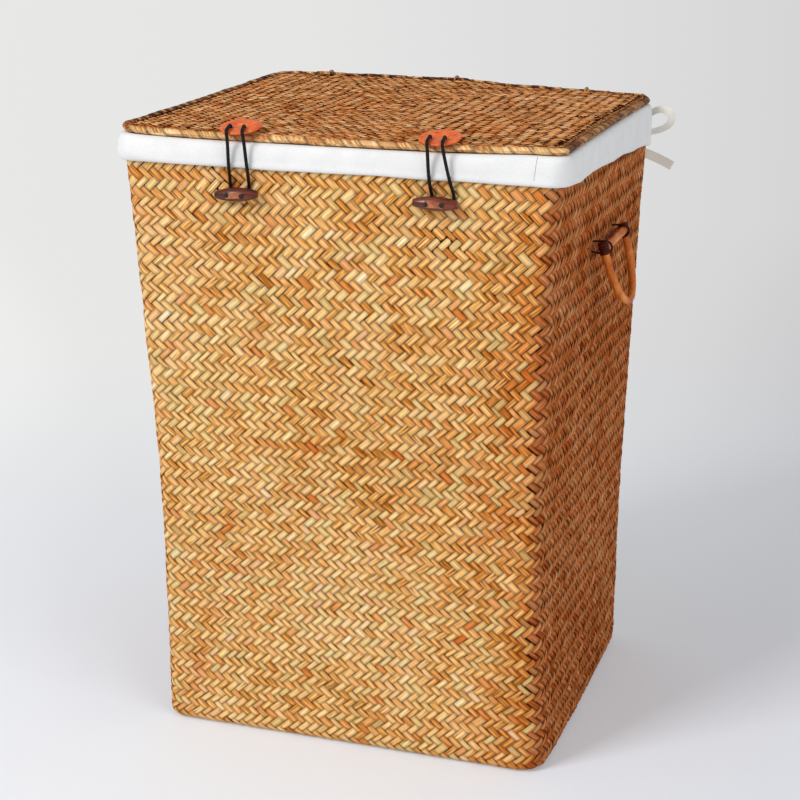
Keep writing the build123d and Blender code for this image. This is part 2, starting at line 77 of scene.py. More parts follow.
chance = np.random.default_rng(41)

# %% [markdown]
# ## Camera
# A short telephoto lens, a step back and to the right, looking down about eighteen degrees.

# %% Camera
CAMERA_PLACE = (0.53053, -1.58970, 0.81829)
CAMERA_DIP, CAMERA_TURN = 0.30659, 0.32327       # in radians: below level, and towards the left
CAMERA_LENS, SENSOR_WIDTH = 82.66, 36.0          # in millimetres
scene = bpy.context.scene
scene.view_settings.view_transform = "Standard"
camera_data = bpy.data.cameras.new("camera")
camera_data.lens = CAMERA_LENS
camera_data.sensor_width = SENSOR_WIDTH
camera = bpy.data.objects.new("camera", camera_data)
camera.location = CAMERA_PLACE
camera.rotation_euler = (math.pi / 2 - CAMERA_DIP, 0.0, CAMERA_TURN)
scene.collection.objects.link(camera)
scene.camera = camera
print("camera at", CAMERA_PLACE, "lens", CAMERA_LENS)

# %% [markdown]
# ## Light
# One broad lamp high on the left gives the plait its small shadows. A weaker one on the
# right and a pale world keep the shaded end readable. The strengths are set so that a
# white sheet facing the front comes out just under white.

# %% Lamps and world
KEY_POWER = 135.0
FILL_POWER = 70.0
WORLD_STRENGTH = 0.55
LAMP_AIM = Vector((0.0, 0.0, 0.30))      # the middle of the basket


def lamp(name, power, size, place):
    """A square area lamp turned to face the basket."""
    data = bpy.data.lights.new(name, "AREA")
    data.energy = power
    data.size = size
    lamp_object = bpy.data.objects.new(name, data)
    lamp_object.location = place
    aim = LAMP_AIM - Vector(place)
    lamp_object.rotation_euler = aim.to_track_quat("-Z", "Y").to_euler()
    scene.collection.objects.link(lamp_object)


lamp("key_lamp", KEY_POWER, 1.6, (-2.1, -3.1, 2.9))
lamp("fill_lamp", FILL_POWER, 3.0, (3.6, -2.2, 2.2))

# %% [markdown]
# ## Small helpers for materials
# Colours are chosen as they look on a screen, so one function turns them into the linear
# values that the renderer adds up. One more adds a shader node with its settings and links.

# %% Material helpers


def colour(code):
    """Linear RGBA of an sRGB hex colour."""
    channels = [int(code[start:start + 2], 16) / 255 for start in (1, 3, 5)]
    linear = [c / 12.92 if c <= 0.04045 else ((c + 0.055) / 1.055) ** 2.4 for c in channels]
    return (*linear, 1.0)


def add_node(tree, kind, inputs=None, **settings):
    """Adds a shader node; an input is a value or the output socket that feeds it."""
    node = tree.nodes.new("ShaderNode" + kind)
    for setting, value in settings.items():
        setattr(node, setting, value)
    for socket, value in (inputs or {}).items():
        if isinstance(value, bpy.types.NodeSocket):
            tree.links.new(value, node.inputs[socket])
        else:
            node.inputs[socket].default_value = value
    return node


def start_material(name, **values):
    """A material with its main shader's plain values set on the shader's own sockets."""
    material = bpy.data.materials.new(name)
    material.use_nodes = True
    shader = material.node_tree.nodes["Principled BSDF"]
    for socket, value in values.items():
        shader.inputs[socket.replace("_", " ")].default_value = value
    return material, material.node_tree, shader


def set_ramp(node, stops):
    """Gives a colour ramp its stops, each a position and a hex colour."""
    elements = node.color_ramp.elements
    while len(elements) > 1:
        elements.remove(elements[-1])
    for index, (position, code) in enumerate(stops):
        element = elements[0] if index == 0 else elements.new(position)
        element.position = position
        element.color = colour(code)
    return node


def feed(tree, shader, **sources):
    """Links outputs to the shader's sockets by name."""
    for socket, source in sources.items():
        tree.links.new(source, shader.inputs[socket.replace("_", " ")])

# %% [markdown]
# ## Small helpers for pieces
# Most shapes here start as a flat grid or a ball from a bmesh operator. All its points are
# read as one array, moved by a formula and written back. That is quick, it keeps the
# operator's even faces, and the same few formulas can then bend every layer of the basket.

# %% Piece helpers


def add_piece(mesh, name, material, body=None):
    """Puts a finished mesh in the scene, on a body if one is named, with smooth faces."""
    mesh.name = name
    mesh.materials.clear()
    mesh.materials.append(material)
    mesh.shade_smooth()
    piece = bpy.data.objects.new(name, mesh)
    scene.collection.objects.link(piece)
    if body:
        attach(piece, body)
    return piece


def mesh_of(bm, name):
    """Closes a bmesh into a mesh."""
    mesh = bpy.data.meshes.new(name)
    bm.to_mesh(mesh)
    bm.free()
    return mesh


def read_points(mesh):
    """The mesh's vertices as rows of three numbers."""
    flat = np.empty(len(mesh.vertices) * 3, dtype=np.float32)
    mesh.vertices.foreach_get("co", flat)
    return flat.reshape(-1, 3).astype(float)


def write_points(mesh, points):
    """Moves the mesh's vertices to new places."""
    mesh.vertices.foreach_set("co", points.astype(np.float32).ravel())
    mesh.update()


def write_tones(mesh, tones):
    """Stores four numbers on each vertex for the material to read."""
    attribute = mesh.attributes.new("tone", "FLOAT_COLOR", "POINT")
    attribute.data.foreach_set("color", tones.astype(np.float32).ravel())


def unit_grid(name, columns, rows):
    """A flat grid: its mesh, and how far across and up it each point lies, from 0 to 1."""
    bm = bmesh.new()
    bmesh.ops.create_grid(bm, x_segments=columns, y_segments=rows, size=1.0)
    mesh = mesh_of(bm, name)
    flat = read_points(mesh)
    return mesh, (flat[:, 0] + 1) / 2, (flat[:, 1] + 1) / 2


def unit_ball(name, segments, rings):
    """A ball with a radius of one: its mesh and its points."""
    bm = bmesh.new()
    bmesh.ops.create_uvsphere(bm, u_segments=segments, v_segments=rings, radius=1.0)
    mesh = mesh_of(bm, name)
    return mesh, read_points(mesh)


def weld(mesh, reach=0.02 * MM, fill_below=-math.inf):
    """Joins points that meet, fills open ends below a height, and turns the faces outwards."""
    bm = bmesh.new()
    bm.from_mesh(mesh)
    bmesh.ops.remove_doubles(bm, verts=bm.verts, dist=reach)
    open_edges = [edge for edge in bm.edges if edge.is_boundary and edge.verts[0].co.z < fill_below]
    bmesh.ops.holes_fill(bm, edges=open_edges)
    bmesh.ops.recalc_face_normals(bm, faces=bm.faces)
    bm.to_mesh(mesh)
    bm.free()
    mesh.update()


def thicken(piece, thickness, offset=-1.0):
    """Gives a sheet its thickness, inwards unless told otherwise."""
    solid = piece.modifiers.new("thickness", "SOLIDIFY")
    solid.thickness = thickness
    solid.offset = offset


def box_of(name):
    """The lowest and the highest corner of one of the model's own pieces."""
    return (np.array(corner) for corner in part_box(name))


def evaluated(source):
    """A plain mesh of an object or curve with its modifiers applied."""
    graph = bpy.context.evaluated_depsgraph_get()
    graph.update()
    return bpy.data.meshes.new_from_object(source.evaluated_get(graph))

# %% [markdown]
# ## The room
# The basket stands on pale paper that runs on behind it as a backdrop. One large disc
# serves for both. Near the basket it is mostly matt paper and takes the shadow, with a quarter
# of glow that lightens that shadow as painted light. Further off it turns into a plain glow that
# only the camera sees, so it puts no light on the straw. The glow is painted light: its tone goes
# by the direction from the camera, from paler on the left to greyer on the right.

# %% World and floor
world = bpy.data.worlds.new("studio")
world.use_nodes = True
background = world.node_tree.nodes["Background"]
background.inputs["Color"].default_value = colour("#ECEDEF")
background.inputs["Strength"].default_value = WORLD_STRENGTH
scene.world = world

PLAN_RIGHT, PLAN_AHEAD = (0.948, 0.318, 0.0), (-0.318, 0.948, 0.0)      # as the camera faces
CAMERA_DISTANCE = 1.68            # from the origin, seen from above
NEAREST = 0.9                     # keeps the division away from nought behind the camera
FLOOR_RADIUS = 14.0
# Matt pale paper, a little cool; the glow that takes over is painted light, a grey with no grain that
# runs from left to right.
floor_finish, floor_tree, floor_shader = start_material("studio_paper", Roughness=0.9)
floor_shader.inputs["Base Color"].default_value = colour("#EBEFF6")
spot = add_node(floor_tree, "TexCoord")
to_right = add_node(floor_tree, "VectorMath", {0: spot.outputs["Object"], 1: PLAN_RIGHT},
                    operation="DOT_PRODUCT")
to_back = add_node(floor_tree, "VectorMath", {0: spot.outputs["Object"], 1: PLAN_AHEAD},
                   operation="DOT_PRODUCT")
depth = add_node(floor_tree, "Math", {0: to_back.outputs["Value"], 1: CAMERA_DISTANCE},
                 operation="ADD")
ahead = add_node(floor_tree, "Math", {0: depth.outputs[0], 1: NEAREST}, operation="MAXIMUM")
slant = add_node(floor_tree, "Math", {0: to_right.outputs["Value"], 1: ahead.outputs[0]},
                 operation="DIVIDE")
gain = add_node(floor_tree, "MapRange", {"Value": to_back.outputs["Value"], "From Min": 0.2,
                                         "From Max": 2.2, "To Min": 1.0, "To Max": 0.68})
spread = add_node(floor_tree, "Math", {0: slant.outputs[0], 1: gain.outputs[0]}, operation="MULTIPLY")
across = add_node(floor_tree, "MapRange", {"Value": spread.outputs[0], "From Min": -0.22,
                                           "From Max": 0.22})
# Painted light: paler towards the key lamp on the left, greyer on the right, where the basket's shadow
# falls on the paper behind it.
backdrop_painted_light = set_ramp(add_node(floor_tree, "ValToRGB", {"Fac": across.outputs[0]}),
                         ((0.0, "#F2F2F1"), (0.16, "#E8E8E7"), (0.4, "#E6E6E5"), (0.75, "#DADADB"),
                          (0.84, "#D5D5D6"), (1.0, "#C8C8CA")))
glow = add_node(floor_tree, "Emission", {"Color": backdrop_painted_light.outputs["Color"]})
# Never less than a quarter glow, even near the basket: painted light that lifts the floor's shadow.
far_off = add_node(floor_tree, "MapRange", {"Value": to_back.outputs["Value"], "From Min": 0.0,
                                            "From Max": 1.25, "To Min": 0.25, "To Max": 1.0},
                   interpolation_type="SMOOTHSTEP")
rays = add_node(floor_tree, "LightPath")
seen = add_node(floor_tree, "Math", {0: far_off.outputs[0], 1: rays.outputs["Is Camera Ray"]},
                operation="MULTIPLY")
both = add_node(floor_tree, "MixShader", {0: seen.outputs[0], 1: floor_shader.outputs[0],
                                          2: glow.outputs[0]})
floor_tree.links.new(both.outputs[0], floor_tree.nodes["Material Output"].inputs["Surface"])
bm = bmesh.new()
bmesh.ops.create_circle(bm, cap_ends=True, segments=96, radius=FLOOR_RADIUS)
floor_mesh = mesh_of(bm, "studio_floor")
floor_mesh.materials.append(floor_finish)
studio_floor = bpy.data.objects.new("studio_floor", floor_mesh)
scene.collection.objects.link(studio_floor)
studio_floor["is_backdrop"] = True

# %% [markdown]
# ## Cords and tapes
# The four ends of the drawstring tape repeat the routes of the solid model, in metres, and
# the two black elastics keep close to them: they only leave their leather buttons nearer
# the front. Each route is the control polygon of one NURBS curve. The curve is read back as
# a line of points and a small grid is bent round that line: a braided round section for the
# elastic, a flat one for the tape.

# %% Cord routes
ELASTIC_LEFT = (
    (-0.0934, -0.1615, 0.56555), (-0.0934, -0.1640, 0.5693), (-0.0934, -0.1738, 0.5693),
    (-0.0934, -0.1757, 0.5738), (-0.0926, -0.1818, 0.5720), (-0.0921, -0.18853, 0.5705),
    (-0.0915, -0.18691, 0.5633), (-0.0933, -0.18212, 0.53922), (-0.0944, -0.1764, 0.5240),
    (-0.0946, -0.1761, 0.5180), (-0.0898, -0.1761, 0.5126), (-0.0824, -0.1761, 0.5124),
    (-0.0777, -0.1761, 0.5180), (-0.0772, -0.1764, 0.5240), (-0.0766, -0.18212, 0.53922),
    (-0.0768, -0.18691, 0.5633), (-0.0776, -0.18853, 0.5705), (-0.0793, -0.1818, 0.5720),
    (-0.0808, -0.1757, 0.5738), (-0.0808, -0.1738, 0.5693), (-0.0808, -0.1640, 0.5693),
    (-0.0808, -0.1615, 0.56555),
)
ELASTIC_RIGHT = (
    (0.0826, -0.1615, 0.56555), (0.0826, -0.1640, 0.5693), (0.0826, -0.1738, 0.5693),
    (0.0826, -0.1757, 0.5738), (0.0831, -0.1818, 0.5720), (0.0835, -0.18853, 0.5705),
    (0.0838, -0.18691, 0.5633), (0.0834, -0.18212, 0.53922), (0.0843, -0.1762, 0.5250),
    (0.0864, -0.1762, 0.5161), (0.0936, -0.1762, 0.5159), (0.1038, -0.1762, 0.5200),
    (0.1032, -0.1763, 0.5265), (0.1009, -0.18212, 0.53922), (0.0970, -0.18691, 0.5633),
    (0.0966, -0.18853, 0.5705), (0.0960, -0.1818, 0.5720), (0.0952, -0.1757, 0.5738),
    (0.0952, -0.1738, 0.5693), (0.0952, -0.1640, 0.5693), (0.0952, -0.1615, 0.56555),
)
TAPE_LOOP_RIGHT = (
    (0.1736, 0.18275, 0.5282), (0.1815, 0.18315, 0.5335), (0.1910, 0.18375, 0.5430),
    (0.2030, 0.18395, 0.5500), (0.2140, 0.18415, 0.5460), (0.2140, 0.18415, 0.5355),
    (0.2040, 0.18375, 0.5295), (0.1920, 0.18335, 0.5265), (0.1820, 0.18295, 0.5235),
    (0.1729, 0.18255, 0.5218),
)
TAPE_TAIL_RIGHT = (
    (0.1690, 0.18255, 0.5176), (0.1725, 0.18275, 0.5115), (0.1820, 0.18335, 0.5080),
    (0.1940, 0.18375, 0.5045), (0.2060, 0.18395, 0.5000), (0.2170, 0.18395, 0.4945),
)
TAPE_LOOP_LEFT = (
    (0.1594, 0.18275, 0.5282), (0.1480, 0.18335, 0.5320), (0.1350, 0.18395, 0.5290),
    (0.1280, 0.18435, 0.5180), (0.1330, 0.18435, 0.5060), (0.1440, 0.18395, 0.5040),
    (0.1525, 0.18335, 0.5125), (0.1590, 0.18255, 0.5210),
)
TAPE_TAIL_LEFT = (
    (0.1630, 0.18255, 0.5184), (0.1615, 0.18275, 0.5060), (0.1625, 0.18315, 0.4910),
    (0.1665, 0.18335, 0.4750), (0.1665, 0.18335, 0.4590),
)
CORD_THICKNESS = 3.0 * MM
TAPE_WIDTH = 9.0 * MM
TAPE_THICKNESS = 0.8 * MM
TAPE_CUPPING = 0.5 * MM

# %% Bending a grid round a line


def smooth_line(name, route):
    """The line of a NURBS curve with this route as its control points, as rows of points."""
    curve = bpy.data.curves.new(name, "CURVE")
    curve.dimensions = "3D"
    curve.resolution_u = 16
    spline = curve.splines.new("NURBS")
    spline.points.add(len(route) - 1)
    for point, place in zip(spline.points, route):
        point.co = (*place, 1.0)
    spline.order_u = 3
    spline.use_endpoint_u = True
    holder = bpy.data.objects.new(name, curve)
    scene.collection.objects.link(holder)
    line = read_points(evaluated(holder))
    bpy.data.objects.remove(holder)
    return line


def line_length(line):
    """The length along a line of points, in metres."""
    return float(np.linalg.norm(np.diff(line, axis=0), axis=1).sum())


def frames_along(line, first_side):
    """Two unit directions across the line at each point, carried along without twisting."""
    ahead = np.gradient(line, axis=0)
    ahead /= np.linalg.norm(ahead, axis=1)[:, None]
    side = np.asarray(first_side, dtype=float)
    sides = []
    for direction in ahead:
        side = side - direction * (side @ direction)
        side = side / np.linalg.norm(side)
        sides.append(side)
    sides = np.array(sides)
    return sides, np.cross(ahead, sides)


def round_about(radius, turn):
    """Side and rise of a round section whose radius may change from point to point."""
    angle = turn * 2 * math.pi
    return radius * np.cos(angle), radius * np.sin(angle)


def tube_piece(name, line, round_steps, section, first_side, material, body=None):
    """A closed tube round the line; section gives side and rise by step and turn."""
    mesh, along, turn = unit_grid(name, len(line) - 1, round_steps)
    step = np.rint(along * (len(line) - 1)).astype(int)
    turn = np.where(turn > 1 - 1e-6, 0.0, turn)
    sides, rises = frames_along(line, first_side)
    across, up = section(step, turn)
    write_points(mesh, line[step] + sides[step] * across[:, None] + rises[step] * up[:, None])
    weld(mesh, 0.005 * MM, fill_below=math.inf)
    return add_piece(mesh, name, material, body)


# %% [markdown]
# ## Elastic and cotton
# The elastic is rubber in a braided black sleeve: dull, with a fine grain. The liner and its
# tape are plain-woven cotton: matt, faintly fuzzy at the edges, with slubs where a thread
# thickens. Threads of a third of a millimetre would vanish, so they are drawn three times
# as coarse.

# %% Cord materials
BRAID_SIZE = 1.111 * MM
THREAD_SIZE, SLUB_SIZE = 1.111 * MM, 16.667 * MM
# Braided black sleeve: nearly black, half dull, its plait only just catching the light.
elastic_black, elastic_tree, elastic_shader = start_material("elastic_black", Roughness=0.5,
                                                            Specular_IOR_Level=0.2)
place = add_node(elastic_tree, "TexCoord")
braid = add_node(elastic_tree, "TexVoronoi", {"Vector": place.outputs["Object"],
                                              "Scale": 1 / BRAID_SIZE})
yarn = set_ramp(add_node(elastic_tree, "ValToRGB", {"Fac": braid.outputs["Distance"]}),
                ((0.1, "#0D0C0D"), (0.7, "#040404")))
braid_bump = add_node(elastic_tree, "Bump", {"Height": braid.outputs["Distance"], "Strength": 0.4,
                                             "Distance": 0.3 * MM})
feed(elastic_tree, elastic_shader, Base_Color=yarn.outputs["Color"], Normal=braid_bump.outputs[0])


def cotton_material(name, code):
    """Plain-woven cotton: its threads, and a faint slub."""
    material, tree, shader = start_material(name, Roughness=0.85, Sheen_Weight=0.12,
                                            Specular_IOR_Level=0.2)
    where = add_node(tree, "TexCoord")
    slub = add_node(tree, "TexNoise", {"Vector": where.outputs["Object"], "Scale": 1 / SLUB_SIZE,
                                       "Detail": 4.0})
    warp = add_node(tree, "TexNoise", {"Vector": where.outputs["Object"], "Scale": 1 / THREAD_SIZE,
                                       "Detail": 1.0})
    blend = add_node(tree, "Math", {0: slub.outputs["Fac"], 1: warp.outputs["Fac"]}, operation="ADD")
    clean = colour(code)
    shaded = tuple(value * 0.90 for value in clean[:3]) + (1.0,)
    tint = add_node(tree, "MapRange", {"Value": blend.outputs[0], "From Min": 0.7, "From Max": 1.3})
    mix = add_node(tree, "Mix", {"Factor": tint.outputs[0], 6: shaded, 7: clean}, data_type="RGBA")
    bump = add_node(tree, "Bump", {"Height": blend.outputs[0], "Strength": 0.25, "Distance": 0.3 * MM})
    feed(tree, shader, Base_Color=mix.outputs[2], Normal=bump.outputs[0])
    return material


# The liner: washed white cotton, soft and quite matt.
white_cotton = cotton_material("white_cotton", "#DFDEDC")
# Its tape: unbleached, so a little yellower.
tape_cotton = cotton_material("unbleached_tape", "#E2DDD2")

# %% [markdown]
# ## The two elastics
# Each elastic is one cord, knotted under the lid. It comes up through the leather button,
# runs over the lid's edge, hooks under its toggle and goes back. One tube follows the whole
# of it.

# %% Elastics
BRAID_STRANDS, BRAID_LAY = 4, 0.9         # ridges each way round, and their turn at each step


def elastic_section(step, turn):
    """Round, with the low ridges of an eight-plait braid."""
    angle = BRAID_STRANDS * turn * 2 * math.pi
    ridges = np.cos(angle + step * BRAID_LAY) * np.cos(angle - step * BRAID_LAY)
    return round_about(CORD_THICKNESS / 2 * (0.95 + 0.05 * ridges), turn)


def elastic(side, route):
    """One elastic: out of the lid, through the button, round the toggle and back."""
    name = "elastic_cord_" + side
    line = smooth_line(name, route)
    piece = tube_piece(name, line, 16, elastic_section, (1, 0, 0), elastic_black)
    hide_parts("elastic_anchor_" + side, "elastic_loop_" + side)
    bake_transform(piece)
    print(name, "length in mm", round(line_length(line) / MM, 1))


elastic("left", ELASTIC_LEFT)
elastic("right", ELASTIC_RIGHT)

# %% [markdown]
# ## The tape's bow
# A flat cotton tape closes the liner's hem and is tied in a bow at the back right corner.
# Its section is a flat oval with nearly square edges, cupped a little, which turns as the
# tape goes along. The knot is a ball with creases, pressed to the size of the model's knot.

# %% Tape of the drawstring


def tape(node, route, tilt, twist):
    """A flat tape along its route; tilt turns its width from level towards facing outwards."""
    name = node + "_cloth"
    line = smooth_line(name, route)
    last = len(line) - 1

    def tape_section(step, turn):
        """A flat oval whose width leans by the tilt, and by more of the twist at each step."""
        angle = turn * 2 * math.pi
        lean = math.radians(tilt) + math.radians(twist) * step / last
        wide = TAPE_WIDTH / 2 * np.sign(np.cos(angle)) * np.abs(np.cos(angle)) ** 0.5
        thick = TAPE_THICKNESS / 2 * np.sin(angle) + TAPE_CUPPING * np.cos(angle) ** 2
        return wide * np.cos(lean) - thick * np.sin(lean), wide * np.sin(lean) + thick * np.cos(lean)

    piece = tube_piece(name, line, 20, tape_section, (0, 1, 0), tape_cotton, "basket")
    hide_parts(node)
    print(name, "length in mm", round(line_length(line) / MM, 1))


tape("tape_loop_right", TAPE_LOOP_RIGHT, 40, 10)
tape("tape_tail_right", TAPE_TAIL_RIGHT, 60, 20)
tape("tape_loop_left", TAPE_LOOP_LEFT, 40, 10)
tape("tape_tail_left", TAPE_TAIL_LEFT, 70, 15)

# %% Knot of the tape
KNOT_PLUMPNESS = (1.08, 1.0, 1.08)
KNOT_SQUARENESS = 0.75            # 1 is a ball, and less is squarer
knot_low, knot_high = box_of("tape_knot")
knot_mesh, ball = unit_ball("tape_knot_cloth", 40, 24)
crease = 0.06 * np.sin(9 * (ball[:, 0] + ball[:, 2]))
crease += 0.05 * np.sin(7 * (ball[:, 2] - 0.6 * ball[:, 0]))
squared = np.sign(ball) * np.abs(ball) ** KNOT_SQUARENESS * (1 + crease)[:, None]
knot_half = (knot_high - knot_low) / 2 * KNOT_PLUMPNESS
write_points(knot_mesh, (knot_low + knot_high) / 2 + squared * knot_half)
tape_knot = add_piece(knot_mesh, "tape_knot_cloth", tape_cotton, "basket")
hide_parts("tape_knot")

# %% [markdown]
# ## Sizes of the basket
# The straw walls lean out from the floor to the rim. The model's box gives the outer
# sizes, and a few more are plain facts about this basket: its corners, its rolled foot, and
# how far its soft walls have sagged out of true. One function places a point on the plain
# tapered walls, by its column round the basket and its climb up the wall. Another then
# moves it as the straw has settled, so every layer that goes through both stays together.

# %% Wall sizes
shell_low, shell_high = box_of("woven_shell")
RIM_HALF = np.array([shell_high[0], shell_high[1]])
FLOOR_HALF = np.array([183.0, 159.5]) * MM
WALL_HEIGHT = shell_high[2]
CORNER_RADIUS = 14 * MM
CRUSHED_RIGHT, CRUSHED_LEFT = 9 * MM, 4 * MM     # how much rounder the corners are at the floor
CRUSHED_HEIGHT = 80 * MM
FOOT_RADIUS = 8 * MM
FOOT_LIFT = 1.3 * MM              # the plait's crowns then touch the floor
FOOT_ARC = math.pi / 2 * FOOT_RADIUS
FRONT_COLUMNS, END_COLUMNS = 40, 36
ROUND_COLUMNS = 2 * (FRONT_COLUMNS + END_COLUMNS)
SIDE_STARTS = np.cumsum([0, FRONT_COLUMNS, END_COLUMNS, FRONT_COLUMNS])
SIDE_COUNTS = np.array([FRONT_COLUMNS, END_COLUMNS, FRONT_COLUMNS, END_COLUMNS])
WALL_ROWS = 34
WAIST_FRONT, WAIST_BACK = 6.5 * MM, 3.0 * MM     # the ends pull in, at their front and back
SIDE_WAIST = 1.6 * MM             # the front and the back pull in
SUNK_CORNER = 4.0 * MM            # back right, down
LEFT_FLARE = 2.4 * MM             # the left end, outwards near the rim
DRAWN_CORNER = 7.6 * MM           # front right, inwards over most of its height
DRAWN_FROM, DRAWN_OVER, DRAWN_FADE = 80 * MM, 400 * MM, 60 * MM      # starts, grows, ends at the rim
FOOT_BULGE, BULGE_HEIGHT = 3.0 * MM, 120 * MM    # the ends, outwards near the floor
print("half widths of the rim", RIM_HALF, "height", WALL_HEIGHT)


def settle(points):
    """The basket's soft shape: waisted walls, and corners that each went their own way."""
    x, y, z = points.T
    sideways, climb = x / RIM_HALF[0], z / WALL_HEIGHT
    toward_back = np.clip(y / RIM_HALF[1], -1, 1) / 2 + 0.5
    near_right, near_left = np.clip(sideways, 0, 1) ** 2, np.clip(-sideways, 0, 1) ** 2
    pull = np.sin(math.pi * np.clip(1 - climb, 0, 1) ** 1.35)
    flare = np.clip(climb / 0.45 - 1.22, 0, 1)
    drawn = np.clip((z - DRAWN_FROM) / DRAWN_OVER, 0, 1) ** 0.7
    drawn *= np.clip((WALL_HEIGHT - z) / DRAWN_FADE, 0, 1)
    bulge = np.clip(1 - (y / RIM_HALF[1]) ** 2, 0, 1) * np.clip(1 - z / BULGE_HEIGHT, 0, 1)
    moved = points.copy()
    moved[:, 0] -= sideways * (WAIST_FRONT + (WAIST_BACK - WAIST_FRONT) * toward_back) * pull
    moved[:, 0] -= LEFT_FLARE * near_left * flare
    moved[:, 0] -= DRAWN_CORNER * near_right * (1 - toward_back) ** 3 * drawn
    moved[:, 0] += FOOT_BULGE * sideways * bulge
    moved[:, 1] -= y / RIM_HALF[1] * SIDE_WAIST * pull
    moved[:, 2] -= SUNK_CORNER * near_right * toward_back ** 3 * np.clip(climb, 0, 1) ** 6
    return moved


def climb_to(height):
    """How far up the wall's face a height above the floor lies."""
    return height - FOOT_LIFT - FOOT_RADIUS + FOOT_ARC


def wall_place(column, climb, out):
    """Point on the walls: column round the basket, climb up the wall, out from its face."""
    column = np.mod(column, ROUND_COLUMNS)
    side = np.searchsorted(SIDE_STARTS, column, side="right") - 1
    turn = np.clip((FOOT_ARC - climb) / FOOT_RADIUS, 0, math.pi / 2)
    under = np.clip(-climb, 0, None)
    height = np.where(climb > FOOT_ARC, FOOT_RADIUS + climb - FOOT_ARC,
                      FOOT_RADIUS * (1 - np.sin(turn))) + FOOT_LIFT
    inset = FOOT_RADIUS * (1 - np.cos(turn)) + under
    share = np.clip(height / WALL_HEIGHT, 0, 1)[:, None]
    half = FLOOR_HALF + (RIM_HALF - FLOOR_HALF) * share - inset[:, None]
    odd = side % 2 == 1
    half_across = np.where(odd, half[:, 1], half[:, 0])
    half_out = np.where(odd, half[:, 0], half[:, 1])
    reach = (column - SIDE_STARTS[side]) / SIDE_COUNTS[side] - 0.5
    to_right = (side == 1) | ((side == 0) & (reach > 0)) | ((side == 2) & (reach < 0))
    crushed = np.where(to_right, CRUSHED_RIGHT, CRUSHED_LEFT)
    rounding = CORNER_RADIUS + crushed * np.clip(1 - climb / CRUSHED_HEIGHT, 0, 1) - inset
    flat = half_across - rounding
    run = reach * 2 * (flat + math.pi / 4 * rounding)
    bend = np.clip(np.abs(run) - flat, 0, None) / rounding
    across = np.sign(run) * (np.minimum(np.abs(run), flat) + rounding * np.sin(bend))
    away = half_out - rounding * (1 - np.cos(bend))
    lean = np.sign(run) * np.sin(bend)
    across = across + out * lean * np.cos(turn)
    away = away + out * np.cos(bend) * np.cos(turn)
    height = height - out * np.sin(turn)
    x = np.choose(side, [across, away, -across, -away])
    y = np.choose(side, [-away, across, away, -across])
    return np.stack([x, y, height], axis=1)


# %% [markdown]
# ## The plait
# Flat strips run both ways at about 45 degrees, and each passes over two and under two.
# What shows is a pattern of short floats: a row that leans right, then a row that leans
# left. One float is modelled once, as a low pillow whose ends tuck under its neighbours,
# and an Array modifier makes as many as a cloth needs. A rule says which strip is on top
# at each crossing, so the same code plaits the plain walls and the mitred lid. Places in
# the flat cloth are counted in columns and rows; places along the strips are called a and b.

# %% One float
ALONG = (-1.12, -0.99, -0.60, 0.0, 0.60, 0.99, 1.12)
ALONG_RISE = (-1.2, -0.22, 0.46, 0.64, 0.46, -0.22, -1.2)
ACROSS = (-0.488, -0.43, 0.0, 0.43, 0.488)
ACROSS_RISE = (-0.9, -0.12, 0.12, -0.12, -0.9)
LOWEST_RISE = -1.4
bm = bmesh.new()
fibres = bm.loops.layers.uv.new("fibres")
bmesh.ops.create_grid(bm, x_segments=len(ALONG) - 1, y_segments=len(ACROSS) - 1, size=1.0)
for vertex in bm.verts:
    step = round((vertex.co.x + 1) / 2 * (len(ALONG) - 1))
    rib = round((vertex.co.y + 1) / 2 * (len(ACROSS) - 1))
    rise = max(ALONG_RISE[step] + ACROSS_RISE[rib], LOWEST_RISE)
    vertex.co = (ALONG[step], ACROSS[rib], rise)
for face in bm.faces:
    for loop in face.loops:
        loop[fibres].uv = (loop.vert.co.x / ALONG[-1] / 2 + 0.5, loop.vert.co.y / ACROSS[-1] / 2 + 0.5)
float_mesh = mesh_of(bm, "float")
FLOAT_SHAPE = read_points(float_mesh)


def many_floats(count):
    """One mesh with this many copies of the float, still to be placed."""
    source = bpy.data.objects.new("float_source", float_mesh)
    scene.collection.objects.link(source)
    array = source.modifiers.new("copies", "ARRAY")
    array.count = count
    array.use_relative_offset = False
    cloth = evaluated(source)
    bpy.data.objects.remove(source)
    return cloth


# %% Which strip is on top


def plain_rule(a, b):
    """Over two, under two, with the ridges along the rows."""
    return (a + b) % 4 < 2


def twill(rule, columns, rows):
    """The floats between two columns and two rows: lean, strip, start and length of each."""
    a = np.arange(int(2 * rows[0] + columns[0]) - 4, int(2 * rows[1] + columns[1]) + 5)
    b = np.arange(int(2 * rows[0] - columns[1]) - 4, int(2 * rows[1] - columns[0]) + 5)
    right_on_top = rule(a[:, None], b[None, :])
    found = []
    for lean, on_top, run, strip in ((0, right_on_top.T, a, b), (1, ~right_on_top, b, a)):
        change = np.diff(np.pad(on_top, ((0, 0), (1, 1))).astype(int), axis=1)
        strip_at, start_at = np.nonzero(change == 1)
        _, stop_at = np.nonzero(change == -1)
        found.append(np.stack([np.full(len(strip_at), lean), strip[strip_at], run[start_at],
                               stop_at - start_at], axis=1))
    lean, strip, start, length = np.concatenate(found).T
    centre_a = np.where(lean == 0, start + length / 2, strip + 0.5)
    centre_b = np.where(lean == 0, strip + 0.5, start + length / 2)
    column, row = (centre_a - centre_b) / 2, (centre_a + centre_b) / 4
    inside = (column >= columns[0] - 0.5) & (column < columns[1] - 0.5)
    inside &= (row >= rows[0]) & (row < rows[1])
    return lean[inside], strip[inside], start[inside], length[inside]


# %% [markdown]
# ## No two floats alike
# Every float differs a little from its neighbours in length, width, height and lean, and a
# strip keeps its own tone for a stretch before the next piece of straw is worked in. All of
# it is drawn at random with fixed seeds, so the basket comes out the same each time.

